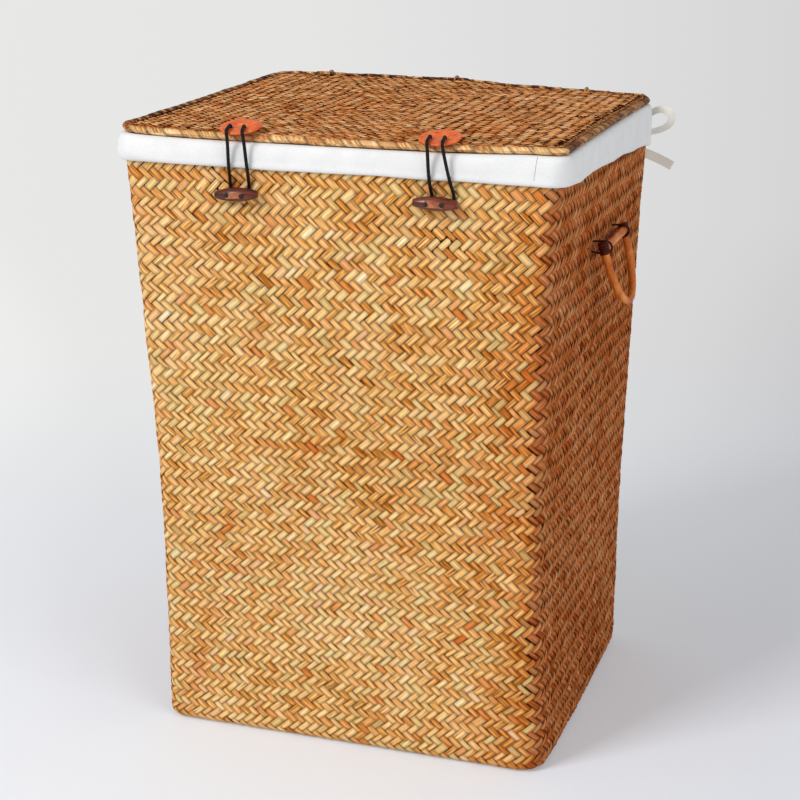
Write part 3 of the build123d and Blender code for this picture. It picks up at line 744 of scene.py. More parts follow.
# %% Every float a little different
STRIPS, STRETCHES = ROUND_COLUMNS, 64
strip_tone = chance.normal(size=(2, STRIPS))
stretch_tone = chance.normal(size=(2, STRIPS, STRETCHES))
strip_edge = chance.normal(0, 0.105, (2, STRIPS))
LENGTH_SPREAD, WIDTH_SPREAD = 0.03, 0.03
NARROWEST, WIDEST = 0.88, 1.03
RISE_SPREAD, LEAN_SPREAD, TONE_SPREAD = 0.11, 0.30, 0.085
STRIP_SHARE, STRETCH_SHARE = 0.07, 0.08          # of the tone: the strip's own, its stretch's own
RED_MEAN = 0.11
TIP_SHADE_LENGTH = 0.20                 # of a float's end that carries painted shade, in strips


def uneven(place, edges):
    """Moves a place counted in strips so that the strips are not all the same width."""
    whole = np.floor(place).astype(int)
    part = place - whole
    return place + edges[whole % STRIPS] * (1 - part) + edges[(whole + 1) % STRIPS] * part


def plait(rule, columns, rows, draw, lean_tone=0.05, one_sided=0.0, gap=0.08):
    """A flat cloth: its mesh, column, row and rise of each point, and tone, red, painted edge shade and
    seed.

    lean_tone sets the two leans apart, one_sided clears the shade from one end of each
    float, and gap is how much of a float's side is shaded.
    """
    lean, strip, start, length = (part[:, None] for part in twill(rule, columns, rows))
    size = (len(lean), 1)
    shape_along, shape_across, shape_rise = FLOAT_SHAPE.T
    along = shape_along * length / 2 + draw.normal(0, LENGTH_SPREAD, size)
    across = shape_across * np.clip(1.0 + draw.normal(0, WIDTH_SPREAD, size), NARROWEST, WIDEST)
    rise = shape_rise + draw.normal(0, RISE_SPREAD, size) + draw.normal(0, LEAN_SPREAD, size) * across
    run, cross = start + length / 2 + along, strip + 0.5 + np.where(lean == 0, across, -across)
    a = uneven(np.where(lean == 0, run, cross), strip_edge[1])
    b = uneven(np.where(lean == 0, cross, run), strip_edge[0])
    strip, stretch = strip % STRIPS, (start // (9 + strip % 6) + strip * 5) % STRETCHES
    own = stretch_tone[lean, strip, stretch]
    tone = 0.50 + STRIP_SHARE * strip_tone[lean, strip] + STRETCH_SHARE * own
    tone = tone + draw.normal(0, TONE_SPREAD, size) + lean_tone * (1 - 2 * lean)
    red = np.clip(draw.exponential(RED_MEAN, size) + 0.08 * own + 2.4 * lean_tone * lean, 0, 1)
    # Painted shade: each float darkens towards its sides and its ends, where it tucks under its
    # neighbours.
    shaded_end = np.where(shape_along * (1 - 2 * lean) > 0, 1.0, 1 - one_sided)
    tip_shade = 1 - shaded_end * (1 - np.clip((ALONG[-1] - np.abs(shape_along)) / TIP_SHADE_LENGTH, 0, 1))
    edge = np.minimum((ACROSS[-1] - np.abs(shape_across)) / gap, tip_shade)
    tones = np.stack(np.broadcast_arrays(tone, red, np.clip(edge, 0, 1), draw.random(size)), axis=-1)
    return many_floats(len(lean)), ((a - b) / 2).ravel(), ((a + b) / 4).ravel(), rise.ravel() * MM, \
        tones.reshape(-1, 4).copy()


# %% [markdown]
# ## Dried straw
# The strips are dried rush, split flat. Along each one run fine ribs, and its tone is its own.
# Its splits are dark, and its edges and tucked ends are darkened as painted shade between the
# strips. Ribs of a third of a millimetre would vanish at this size, so they are drawn nearly
# three times as coarse.

# %% Straw material
RIBS_ACROSS, RIB_RUN = 7.0, 0.8   # noise cells over a float's width and its length
SEED_STEP = 57.0                  # spreads the floats over the noise, so that few share their ribs


def straw_material(name, stops, red_code, odd_code, split_and_shade_code, gloss):
    """Split rush: palette by tone, reddened and odd floats, ribs and dark splits, painted shade at the
    edges.
    """
    material, tree, shader = start_material(name, Roughness=0.55, Specular_IOR_Level=gloss)
    tone = add_node(tree, "Attribute", attribute_name="tone")
    parts = add_node(tree, "SeparateColor", {"Color": tone.outputs["Color"]})
    place = add_node(tree, "UVMap", uv_map="fibres")
    split = add_node(tree, "SeparateXYZ", {"Vector": place.outputs["UV"]})
    far = add_node(tree, "Math", {0: tone.outputs["Alpha"], 1: SEED_STEP}, operation="MULTIPLY")
    run = add_node(tree, "Math", {0: split.outputs["X"], 1: RIB_RUN}, operation="MULTIPLY")
    rib = add_node(tree, "Math", {0: split.outputs["Y"], 1: RIBS_ACROSS}, operation="MULTIPLY")
    where = add_node(tree, "CombineXYZ", {"X": run.outputs[0], "Y": rib.outputs[0],
                                          "Z": far.outputs[0]})
    ribs = add_node(tree, "TexNoise", {"Vector": where.outputs[0], "Scale": 1.0, "Detail": 2.0,
                                       "Roughness": 0.6})
    shift = add_node(tree, "MapRange", {"Value": ribs.outputs["Fac"], "From Min": 0.3,
                                        "From Max": 0.7, "To Min": -0.30, "To Max": 0.27})
    level = add_node(tree, "Math", {0: parts.outputs["Red"], 1: shift.outputs[0]}, operation="ADD")
    palette = set_ramp(add_node(tree, "ValToRGB", {"Fac": level.outputs[0]}), stops)
    reddened = add_node(tree, "Mix", {"Factor": parts.outputs["Green"], 6: palette.outputs["Color"],
                                      7: colour(red_code)}, data_type="RGBA", blend_type="MIX")
    oddness = add_node(tree, "MapRange", {"Value": tone.outputs["Alpha"], "From Min": 0.70,
                                          "From Max": 0.95, "To Max": 0.55})
    mottled = add_node(tree, "Mix", {"Factor": oddness.outputs[0], 6: reddened.outputs[2],
                                     7: colour(odd_code)}, data_type="RGBA", blend_type="MIX")
    # The dark colour goes into the splits of the ribs, and into the edge channel's painted shade at
    # each float's sides and ends.
    crack = add_node(tree, "MapRange", {"Value": ribs.outputs["Fac"], "From Min": 0.26,
                                        "From Max": 0.34})
    clean = add_node(tree, "Math", {0: crack.outputs[0], 1: parts.outputs["Blue"]},
                     operation="MINIMUM")
    final = add_node(tree, "Mix", {"Factor": clean.outputs[0], 6: colour(split_and_shade_code),
                                   7: mottled.outputs[2]}, data_type="RGBA", blend_type="MIX")
    bump = add_node(tree, "Bump", {"Height": ribs.outputs["Fac"], "Strength": 0.4,
                                   "Distance": 0.35 * MM})
    feed(tree, shader, Base_Color=final.outputs[2], Normal=bump.outputs[0])
    return material


# Front and back: pale golden straw, dull, with a little shine where a strip arches.
GOLDEN = ((0.05, "#8A450B"), (0.28, "#D38D3A"), (0.5, "#F7C277"), (0.75, "#FCDC9D"), (1.0, "#FEEDCB"))
golden_straw = straw_material("golden_straw", GOLDEN, "#D06A2A", "#DEC988", "#381102", 0.02)
# The two ends: the same straw, given a darker, redder palette that paints in the shade they stand in,
# and quite matt.
RUSSET_IN_SHADE = ((0.05, "#66260A"), (0.28, "#A04F20"), (0.5, "#C2743F"), (0.75, "#DC9763"), (1.0, "#ECBB90"))
russet_straw_in_shade = straw_material("russet_straw_in_shade", RUSSET_IN_SHADE, "#B24E20", "#C08A58", "#260901", 0.0)
# The lid: between the two in tone, and quite matt.
TOASTED = ((0.05, "#773510"), (0.28, "#B46A31"), (0.5, "#D69258"), (0.75, "#EBB27A"), (1.0, "#F8D4A5"))
toasted_straw = straw_material("toasted_straw", TOASTED, "#B85C26", "#D2AF80", "#421504", 0.0)
# The strip bound round the lid's edge: from deep brown in its turns to cream, a little glossy; its dark
# colour also paints the shade in the grooves between turns and under the roll.
BOUND = ((0.05, "#2E130A"), (0.25, "#6B3A20"), (0.45, "#A8743F"), (0.7, "#DDAE72"), (1.0, "#F0D3A2"))
bound_straw = straw_material("bound_straw", BOUND, "#A55A2C", "#C79A66", "#2A0F05", 0.1)

# %% [markdown]
# ## The four walls
# Each side is one cloth of the plait, laid on the wall from the middle of one corner to the
# middle of the next. Slow waves, a few sines crossed at random, make the rows wander and the
# face swell, as hand work does. The tones drift over the cloth in the same way.

# %% Walls of the basket
ROW_PITCH = 15.9 * MM
ROW_GROWTH = 18 * MM              # how much taller the top rows make the wall
FIRST_CLIMB = -5.5 * MM
LONG_WAVE, END_WAVE = 1.3 * MM, 1.5 * MM         # how far the rows wander; added at the two ends
COLUMN_WAVE, FACE_WAVE = 0.16, 0.42 * MM         # in columns sideways, and out of the face
WALL_CONTRAST = 0.72              # of the lid's
CORNER_SHADE_FROM, CORNER_SHADE_WIDTH = 0.60, 0.35               # where the painted shade of the front's right part starts, and its width, in half widths


def climb_of(row):
    """How far up the wall a row of the plait lies; the rows open out near the rim."""
    share = np.clip(row, 0, None) / WALL_ROWS
    return FIRST_CLIMB + ROW_PITCH * row + ROW_GROWTH * share ** 5


def wave(points, seed, lengths, size):
    """Slow uneven swell from a few crossed sines of these lengths, in metres, and this size."""
    draw = np.random.default_rng(seed)
    total = np.zeros(len(points))
    for length in lengths:
        for _ in range(3):
            heading = draw.normal(size=3)
            heading /= np.linalg.norm(heading)
            total += np.sin((points @ heading / length + draw.random()) * 2 * math.pi)
    return total / math.sqrt(3 * len(lengths)) * size


def woven_wall(name, side, material, one_sided):
    """One side of the basket, from the middle of one corner to the middle of the next."""
    first, last = int(SIDE_STARTS[side]), int(SIDE_STARTS[side] + SIDE_COUNTS[side])
    draw = np.random.default_rng(100 + side)
    # The ends carry a wider band of painted shade along the floats' sides, and most of the shade at one
    # end of each float is cleared.
    cloth, column, row, out, tones = plait(plain_rule, (first, last), (0, WALL_ROWS), draw,
                                           one_sided=one_sided, gap=0.12 if side % 2 else 0.10)
    tones[:, 0] = 0.5 + WALL_CONTRAST * (tones[:, 0] - 0.5)
    rough = wall_place(column, climb_of(row), np.zeros(len(row)))
    above_foot = np.clip(row / 3, 0, 1)
    climb = climb_of(row) + wave(rough, 7, (0.21, 0.13), LONG_WAVE) * above_foot
    if side % 2:
        climb += wave(rough, 12, (0.17, 0.10), END_WAVE) * above_foot
    column = column + wave(rough, 8, (0.19, 0.11), COLUMN_WAVE)
    out = out + wave(rough, 9, (0.16, 0.07, 0.045), FACE_WAVE) * np.clip(row / 2, 0, 1)
    points = settle(wall_place(column, climb, out))
    tones[:, 0] += wave(points, 10, (0.30, 0.12, 0.05), 0.055)
    tones[:, 1] += np.clip(wave(points, 11, (0.22, 0.08), 0.07), -0.05, 1)
    if side == 0:                     # painted shade: the front is darker and redder towards its right corner, where it turns to the shaded end
        across = points[:, 0] / RIM_HALF[0]
        corner_shade = np.clip((across - CORNER_SHADE_FROM) / CORNER_SHADE_WIDTH, 0, 1)
        tones[:, 0] -= 0.05 * across + 0.16 * corner_shade
        tones[:, 1] += np.clip(0.04 * across, 0, 1) + 0.26 * corner_shade
    write_points(cloth, points)
    write_tones(cloth, tones)
    return add_piece(cloth, name, material, "basket")


weave_front = woven_wall("weave_front", 0, golden_straw, 0.0)
weave_right = woven_wall("weave_right", 1, russet_straw_in_shade, 0.7)
weave_back = woven_wall("weave_back", 2, golden_straw, 0.0)
weave_left = woven_wall("weave_left", 3, russet_straw_in_shade, 0.7)

# %% [markdown]
# ## Behind the plait
# Between the strips one looks into shadow. A dark shell just inside the floats gives that
# shadow, closes the gaps of the plait and hides the wire frame.

# %% Dark shell behind the plait


def wrapped_grid(name, columns_step, climbs, out):
    """A skin round the whole basket, this far out from the wall's face, closed at its seam."""
    mesh, turn, rise = unit_grid(name, int(round(ROUND_COLUMNS / columns_step)), len(climbs) - 1)
    column = turn * ROUND_COLUMNS
    column = np.where(column > ROUND_COLUMNS - 1e-4, 0.0, column)
    step = np.rint(rise * (len(climbs) - 1)).astype(int)
    write_points(mesh, wall_place(column, np.asarray(climbs)[step], np.full(len(column), out)))
    return mesh, column, step


RIM_CLIMB = climb_to(WALL_HEIGHT)
BACKING_BEHIND, BACKING_THICKNESS = 1.0 * MM, 2.2 * MM
foot_steps = list(np.linspace(FIRST_CLIMB, FOOT_ARC, 7))
wall_steps = list(np.linspace(FOOT_ARC, RIM_CLIMB, 40))[1:]
backing_mesh, _, _ = wrapped_grid("weave_backing", 0.5, foot_steps + wall_steps, -BACKING_BEHIND)
write_points(backing_mesh, settle(read_points(backing_mesh)))
weld(backing_mesh, fill_below=WALL_HEIGHT / 2)

# Shadow between the strips: matt, nearly black brown, with the faint grain of straw deep down.
GRAIN_SIZE = 1.667 * MM
shadow_straw, shadow_tree, shadow_shader = start_material("shaded_straw", Roughness=0.9,
                                                           Specular_IOR_Level=0.0)
where = add_node(shadow_tree, "TexCoord")
grain = add_node(shadow_tree, "TexNoise", {"Vector": where.outputs["Object"],
                                           "Scale": 1 / GRAIN_SIZE, "Detail": 3.0})
murk = set_ramp(add_node(shadow_tree, "ValToRGB", {"Fac": grain.outputs["Fac"]}),
                ((0.35, "#1F0B02"), (0.65, "#431B07")))
feed(shadow_tree, shadow_shader, Base_Color=murk.outputs["Color"])
weave_backing = add_piece(backing_mesh, "weave_backing", shadow_straw, "basket")
thicken(weave_backing, BACKING_THICKNESS)
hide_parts("woven_shell")

# %% [markdown]
# ## The underside
# The floor is woven like the walls. It is one flat cloth of the same plait that faces down,
# set into the closed floor of the dark shell.

# %% Woven underside
BASE_COLUMNS, BASE_ROWS = 37, 18
BASE_PITCH = (9.2 * MM, 16.2 * MM)
BASE_LEVEL = FOOT_LIFT + 0.5 * MM
base_cloth, column, row, out, tones = plait(plain_rule, (0, BASE_COLUMNS), (0, BASE_ROWS),
                                            np.random.default_rng(120))
base_points = np.stack([-(column - BASE_COLUMNS / 2) * BASE_PITCH[0],
                        (row - BASE_ROWS / 2) * BASE_PITCH[1],
                        BASE_LEVEL - out], axis=1)
write_points(base_cloth, base_points)
write_tones(base_cloth, tones)
weave_base = add_piece(base_cloth, "weave_base", golden_straw, "basket")

# %% [markdown]
# ## The lid
# The lid is plaited with a mitre: its ridges run from front to back at the two ends, and
# from end to end in the front and back quarters, and the strips run through from one part
# to the next. It has one face up and one face down, on either side of a thin core. Its
# front edge sags a little between the corners, its back edge is slightly arched, and its
# back right corner follows the sunken rim.

# %% Lid plait
panel_low, panel_high = box_of("lid_panel")
LID_COLUMNS, LID_ROWS = 44, 20
LID_PITCH = (7.8 * MM, 19.4 * MM)
LID_SPREAD = 3.4 * MM             # the strips lie wider apart in the middle of the lid
LID_SHIFT = 7.48 * MM             # and the middle of the mitre lies this far to the left
MITRE_SLOPE = 1.48                # depth over width of the mitre's two edges
LID_EDGE = (190.6 * MM, 170.2 * MM)
LID_MIDDLE = (panel_low[2] + panel_high[2]) / 2
DIP_AT, DIP_REACH = -43 * MM, (195 * MM, 150 * MM)   # lowest place of the front edge; to its ends
FRONT_RISE, FRONT_DIP = 2.2 * MM, 0.9 * MM
ARCH_RISE = 3.9 * MM
ARCH_ENDS, ARCH_RAMPS = (-210 * MM, 80 * MM), (45 * MM, 85 * MM)     # along the back edge


def lid_settle(points, arched=1.0):
    """The lid's front edge rises to its corners and its back edge is a little arched."""
    moved = settle(points)
    x = points[:, 0]
    toward_front = np.clip(-points[:, 1] / LID_EDGE[1], -1, 1) / 2 + 0.5
    from_dip = np.where(x > DIP_AT, (x - DIP_AT) / DIP_REACH[0], (DIP_AT - x) / DIP_REACH[1])
    moved[:, 2] += (FRONT_RISE * np.minimum(from_dip, 1.05) ** 4 - FRONT_DIP) * toward_front ** 2
    arch = np.minimum((x - ARCH_ENDS[0]) / ARCH_RAMPS[0], (ARCH_ENDS[1] - x) / ARCH_RAMPS[1])
    arch = np.clip(arch, 0, 1) ** 2 * (3 - 2 * np.clip(arch, 0, 1))
    moved[:, 2] += ARCH_RISE * arched * arch * (1 - toward_front) ** 3
    return moved


def mitred_rule(a, b):
    """Ridges from front to back at the ends, and from end to end at the front and back."""
    width = ((a + b) / 4 - LID_ROWS / 2) * LID_PITCH[1]
    depth = ((a - b) / 2 - LID_COLUMNS / 2) * LID_PITCH[0]
    return np.where(np.abs(depth) > MITRE_SLOPE * np.abs(width), (a - b) % 4 < 2, (a + b) % 4 < 2)


LID_SWELL = (21, (0.15, 0.08), 0.35 * MM)        # seed, lengths and size of the panel's waves
LID_WANDER = 1.5 * MM
LID_FACE = 0.3 * MM               # from the lid's middle to the plait's own level
LID_CROWN, CROWN_LOSS = 0.9, 0.5  # height of the floats beside the walls', and what pressing takes
PRESSED_WIDTH = 9 * MM            # the plait is flattened this far in from the edge
PRESSED_DEPTH, DEEPER = 0.7 * MM, 0.9 * MM       # and sinks this much; more at the left and back


def woven_lid(name, face_up, seed):
    """One face of the lid: the mitred plait laid flat, pressed thin under the bound edge."""
    cloth, column, row, out, tones = plait(mitred_rule, (0, LID_COLUMNS), (0, LID_ROWS),
                                           np.random.default_rng(seed), 0.035, 0.3, 0.04)
    from_middle = 2 * row / LID_ROWS - 1
    x = from_middle * LID_PITCH[1] * LID_ROWS / 2 + LID_SPREAD * np.sin(math.pi * from_middle)
    x = (x + LID_SHIFT * (1 - from_middle ** 2)) * (-1 if face_up else 1)
    y = (column - LID_COLUMNS / 2) * LID_PITCH[0]
    flat = np.stack([x, y, np.zeros(len(x))], axis=1)
    x = x + wave(flat, seed + 1, (0.19, 0.12), LID_WANDER)
    past = np.maximum(np.abs(x) - LID_EDGE[0], np.abs(y) - LID_EDGE[1])
    pressed = np.clip(past / PRESSED_WIDTH + 1, 0, 1)
    rise = LID_FACE + out * (LID_CROWN - CROWN_LOSS * pressed)
    z = LID_MIDDLE + wave(flat, *LID_SWELL) + rise * (1 if face_up else -1)
    left_or_back = np.clip(np.maximum(-x / LID_EDGE[0], y / LID_EDGE[1]) * 4 - 3, 0, 1)
    sunk = (PRESSED_DEPTH + DEEPER * left_or_back) * pressed ** 2 + np.clip(past, 0, 2 * MM)
    z -= sunk * (1 if face_up else -0.5)
    x, y = np.clip(x, -LID_EDGE[0], LID_EDGE[0]), np.clip(y, -LID_EDGE[1], LID_EDGE[1])
    points = lid_settle(np.stack([x, y, z], axis=1))
    tones[:, 0] += wave(points, seed + 2, (0.20, 0.09), 0.06)
    write_points(cloth, points)
    write_tones(cloth, tones)
    piece = add_piece(cloth, name, toasted_straw, "lid")
    return piece


lid_top = woven_lid("weave_lid_top", True, 130)
woven_lid("weave_lid_under", False, 140)
CORE_INSET, CORE_THICKNESS = 3 * MM, 1.0 * MM
core_mesh, across, back = unit_grid("lid_core", 48, 44)
core_points = np.stack([(2 * across - 1) * (LID_EDGE[0] - CORE_INSET),
                        (2 * back - 1) * (LID_EDGE[1] - CORE_INSET),
                        np.zeros(len(across))], axis=1)
core_points[:, 2] = LID_MIDDLE + wave(core_points, *LID_SWELL)
write_points(core_mesh, lid_settle(core_points))
lid_core = add_piece(core_mesh, "lid_core", shadow_straw, "lid")
thicken(lid_core, CORE_THICKNESS, offset=0.0)
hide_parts("lid_panel")
print("faces in the lid's top", len(lid_top.data.polygons))

# %% [markdown]
# ## The lid's edge
# A bundle of straw is laid round the lid over a wire and bound with one long strip. Every
# turn of the strip leans along the edge and leaves a small step to the next. The roll is a
# grid bent into a tube, its radius stepped by the strip's spiral.

# %% Wrapped edge


CORNERS = np.array([[1, -1], [1, 1], [-1, 1], [-1, -1]])


def loop_place(share, half_x, half_y, rounding):
    """Points and outward directions along a rounded rectangle, anticlockwise from above."""
    half = np.array([half_x - rounding, half_y - rounding])
    arc = math.pi / 2 * rounding
    lengths = np.array([2 * half[0], arc, 2 * half[1], arc, 2 * half[0], arc, 2 * half[1], arc])
    ends = np.cumsum(lengths)
    run = np.mod(share, 1.0) * ends[-1]
    part = np.minimum(np.searchsorted(ends, run, side="right"), len(ends) - 1)
    on_corner = part % 2 == 1
    along = run - (ends[part] - lengths[part])
    quarter = part // 2
    turned = np.where(on_corner, along / rounding, 0.0) + quarter * math.pi / 2
    heading = np.stack([np.cos(turned), np.sin(turned)], axis=1)
    outward = np.stack([np.sin(turned), -np.cos(turned)], axis=1)
    on_flat = CORNERS[quarter - 1] * half + outward * rounding + heading * along[:, None]
    on_arc = CORNERS[quarter] * half + outward * rounding
    return np.where(on_corner[:, None], on_arc, on_flat), outward


roll_low, roll_high = box_of("lid_binding")
ROLL_WIDE, ROLL_TALL = 4.0 * MM, 2.9 * MM       # half sizes: pressed flat at the front and right
ROLL_PROUD = 1.2 * MM             # taller by this at the left and the back
ROLL_HALF = (roll_high[0] - ROLL_WIDE, roll_high[1] - ROLL_WIDE)
ROLL_ROUNDING = 7 * MM
ROLL_TURNS = 90
TURN_STEPS, ROLL_SIDES = 12, 16   # how finely a turn is divided along the edge, and round it
WRAP_REPEATS = 1.6                # how often the ribs repeat round the roll
ring_mesh, share, about = unit_grid("lid_roll", ROLL_TURNS * TURN_STEPS, ROLL_SIDES)
spot, outward = loop_place(share, *ROLL_HALF, ROLL_ROUNDING)
phase = share * ROLL_TURNS + about
turn_index = np.floor(phase).astype(int) % ROLL_TURNS
within = phase - np.floor(phase)
turn_lift = chance.normal(0, 0.05, ROLL_TURNS)
swollen = 0.95 + 0.10 * np.sin(math.pi * within) ** 0.5 + turn_lift[turn_index]
angle = about * 2 * math.pi
tall = ROLL_TALL + ROLL_PROUD * np.maximum(-outward[:, 0], outward[:, 1]).clip(0, 1)
roll_points = np.concatenate([spot + outward * (ROLL_WIDE * swollen * np.cos(angle))[:, None],
                              (roll_low[2] + tall * (1 + swollen * np.sin(angle)))[:, None]], axis=1)
roll_points[:, 2] += wave(roll_points, 31, (0.12, 0.05), 0.2 * MM)
write_points(ring_mesh, lid_settle(roll_points))
at_front, at_right = -outward[:, 1].clip(-1, 0), outward[:, 0].clip(0, 1)
turn_tone = chance.normal(0.0, 0.11, ROLL_TURNS)[turn_index]
side_tone = np.clip(0.12 + 0.54 * at_front + 0.26 * at_right, 0, 0.66) + turn_tone
# Painted highlight: the round back of each turn is lighter at the left and the back.
side_tone += 0.40 * (1 - at_front) * (1 - at_right) * np.sin(math.pi * within) ** 4
# Painted shade: dark in the grooves between turns, and a painted contact shadow along the underside of
# the roll.
groove_shade_mask = np.clip(np.sin(math.pi * within) * 3.5, 0, 1)
contact_shadow_mask = np.clip((np.sin(angle) + 1.0) / 0.30, 0.3, 1)
write_tones(ring_mesh, np.stack([side_tone,
                                 np.clip(chance.exponential(0.10, ROLL_TURNS), 0, 1)[turn_index],
                                 np.minimum(groove_shade_mask, contact_shadow_mask),
                                 chance.random(ROLL_TURNS)[turn_index]], axis=1))
bm = bmesh.new()
bm.from_mesh(ring_mesh)
wrap_uv = bm.loops.layers.uv.new("fibres")
for face in bm.faces:
    for loop in face.loops:
        loop[wrap_uv].uv = (about[loop.vert.index] * WRAP_REPEATS, within[loop.vert.index])
bm.to_mesh(ring_mesh)
bm.free()
weld(ring_mesh)
lid_roll = add_piece(ring_mesh, "lid_roll", bound_straw, "lid")
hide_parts("lid_binding")
print("turns round the lid's edge", ROLL_TURNS)

# %% [markdown]
# ## The cotton liner
# A plain cotton bag hangs inside and its top is folded out over the rim. The fold is a
# second layer with a hem that holds a drawstring, so its lower edge is plump. Both are
# skins wrapped by the same rule as the walls, with shallow folds and a little thickness.

# %% Cuff over the rim
CUFF_TOP = 555.4                  # in millimetres, like the heights and depths that follow
CUFF_STEPS = (
    # rise above a base, out from the wall, and where the base lies: 0 CUFF_TOP, 1 lower edge
    (-14.4, -9.4, 0), (-10.4, -11.4, 0), (-6.4, -12.3, 0), (-1.4, -11.8, 0), (2.6, -9.0, 0),
    (4.3, -5.0, 0), (4.7, -1.2, 0), (4.4, 1.4, 0), (3.0, 3.3, 0), (0.0, 4.3, 0),
    (2.0, 4.6, 0.25), (4.0, 4.8, 0.5), (6.0, 4.8, 0.75), (8.0, 4.7, 1), (6.4, 4.6, 1),
    (4.6, 4.9, 1), (2.6, 4.8, 1), (0.9, 4.2, 1), (0.0, 3.2, 1), (0.8, 2.2, 1), (4.0, 1.6, 1),
)
EDGE_LEVEL, EDGE_SLOPE = 527.5, 0.0585           # the lower edge, and how it rises to the front
SAGS = ((1.8, 41.0, 3.0), (2.4, 45.5, 2.2))      # depth, column and half width, on the right end
LIFT, LIFTED = 2.6, ((48, 4), (78, 5))           # higher on this stretch: its ends and their ramps
OUTSIDE_FROM = 2.5                # steps further out than this are the part that shows
OUTER_FOLDS = (52, (0.11, 0.05, 0.028), 0.55)    # seed, lengths and size of the soft folds
CORNER_BELLY, BELLY_COLUMNS, BELLY_TOP = 3.4, 5.5, 558
FOLLOWS_LID_FROM, FOLLOWS_LID_OVER, LID_ARCH_SHARE = 540, 15, 0.2    # how the top goes with the lid
SEAM_COLUMN, SEAM_WIDTH, SEAM_DEPTH = 38.0, 0.22, 0.8


def cuff_skin(name, steps):
    """The folded cuff: its mesh, and the line down its outside where the seam runs."""
    mesh, column, step = wrapped_grid(name, 0.25, [RIM_CLIMB] * len(steps), 0.0)
    base = read_points(mesh)
    rise, out, lower = np.array(steps)[step].T
    swing = wave(base, 51, (0.16, 0.07), 0.5)
    for depth, middle, half_width in SAGS:
        swing -= depth * np.exp(-((column - middle) / half_width) ** 2)
    (lift_from, lift_ramp), (lift_to, fall_ramp) = LIFTED
    swing += LIFT * np.clip((column - lift_from) / lift_ramp, 0, 1) \
        * np.clip((lift_to - column) / fall_ramp, 0, 1)
    edge = EDGE_LEVEL - EDGE_SLOPE * base[:, 1] / MM + swing
    height = rise + CUFF_TOP + (edge - CUFF_TOP) * lower
    outer = out > OUTSIDE_FROM
    folds = wave(base * (1, 1, 0) + np.stack([height] * 3, 1) * MM * 0.5, *OUTER_FOLDS)
    corner = np.exp(-((np.mod(column + 10, ROUND_COLUMNS) - 10) / BELLY_COLUMNS) ** 2)
    belly = np.clip((BELLY_TOP - height) / 12, 0, 1) * np.clip((height - edge + 6) / 12, 0, 1)
    seam = np.exp(-((column - SEAM_COLUMN) / SEAM_WIDTH) ** 2)
    out = out + np.where(outer, folds + CORNER_BELLY * corner * belly - SEAM_DEPTH * seam, 0)
    points = wall_place(column, climb_to(height * MM), out * MM)
    top = np.clip((height - FOLLOWS_LID_FROM) / FOLLOWS_LID_OVER, 0, 1)[:, None]
    settled = settle(points) * (1 - top) + lid_settle(points, LID_ARCH_SHARE) * top
    write_points(mesh, settled)
    at_seam = np.nonzero((np.abs(column - SEAM_COLUMN) < 0.05) & (step >= 7) & (step <= 15))[0]
    return mesh, settled[at_seam[np.argsort(step[at_seam])]]


CUFF_THICKNESS, BAG_THICKNESS = 0.9 * MM, 0.8 * MM
cuff_mesh, seam_corners = cuff_skin("liner_cuff_cloth", CUFF_STEPS)
weld(cuff_mesh)
cuff = add_piece(cuff_mesh, "liner_cuff_cloth", white_cotton, "basket")
thicken(cuff, CUFF_THICKNESS)
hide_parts("liner_cuff", "drawstring")

# %% [markdown]
# ## Seam and bag
# The cuff is closed by one stitched seam near the front right corner. The thread is one
# tube that swells over the cloth at every stitch. The bag hangs freely inside: its top goes
# up under the cuff, and its folds are deepest halfway down.

# %% Stitched seam of the cuff
STITCHES, STITCH_STEPS = 15, 6
THREAD_THIN, THREAD_SWELL = 0.12 * MM, 0.38 * MM
seam_travel = np.append(0, np.cumsum(np.linalg.norm(np.diff(seam_corners, axis=0), axis=1)))
seam_steps = np.linspace(0, seam_travel[-1], STITCHES * STITCH_STEPS + 1)
seam_line = np.stack([np.interp(seam_steps, seam_travel, part) for part in seam_corners.T], axis=1)


def stitch_section(step, turn):
    """Thread that rises over the cloth at every stitch and dips into it between two."""
    swell = np.clip(np.sin(step * 2 * math.pi / STITCH_STEPS), 0, 1)
    return round_about(THREAD_THIN + THREAD_SWELL * swell, turn)


# Thread a little darker than the cloth, so that the row of stitches reads from a distance.
seam_cotton = cotton_material("seam_thread", "#9C968E")
seam_thread = tube_piece("cuff_seam_thread", seam_line, 8, stitch_section, (1, 0, 0),
                         seam_cotton, "basket")

# %% Bag inside
BAG_BEHIND = 9.6 * MM             # from the wall's face to the bag
BAG_FLOOR, BAG_TOP = 16 * MM, 541 * MM
FOLD_FADE = 60 * MM               # the folds die out this near the top and the floor
bag_climbs = climb_to(np.linspace(BAG_FLOOR, BAG_TOP, 44))
bag_mesh, column, step = wrapped_grid("liner_bag_cloth", 0.5, bag_climbs, -BAG_BEHIND)
bag_points = read_points(bag_mesh)
height = bag_points[:, 2]
folds = wave(bag_points * (1, 1, 0.25), 61, (0.09, 0.05), 0.9 * MM) - 1.6 * MM
folds *= np.clip((BAG_TOP - height) / FOLD_FADE, 0, 1)
folds *= np.clip((height - BAG_FLOOR) / FOLD_FADE, 0, 1)
bag_points = wall_place(column, climb_to(height), np.minimum(folds, 0) - BAG_BEHIND)
write_points(bag_mesh, settle(bag_points))
weld(bag_mesh, fill_below=WALL_HEIGHT / 2)
bag = add_piece(bag_mesh, "liner_bag_cloth", white_cotton, "basket")
thicken(bag, BAG_THICKNESS)
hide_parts("liner_bag")

# %% [markdown]
# ## Wire frame
# The frame inside is bent with the walls, so its posts are redrawn as rods that follow the
# same settling, and the lid's wire follows the lid. The rest of the frame keeps the shapes
# of the solid model.

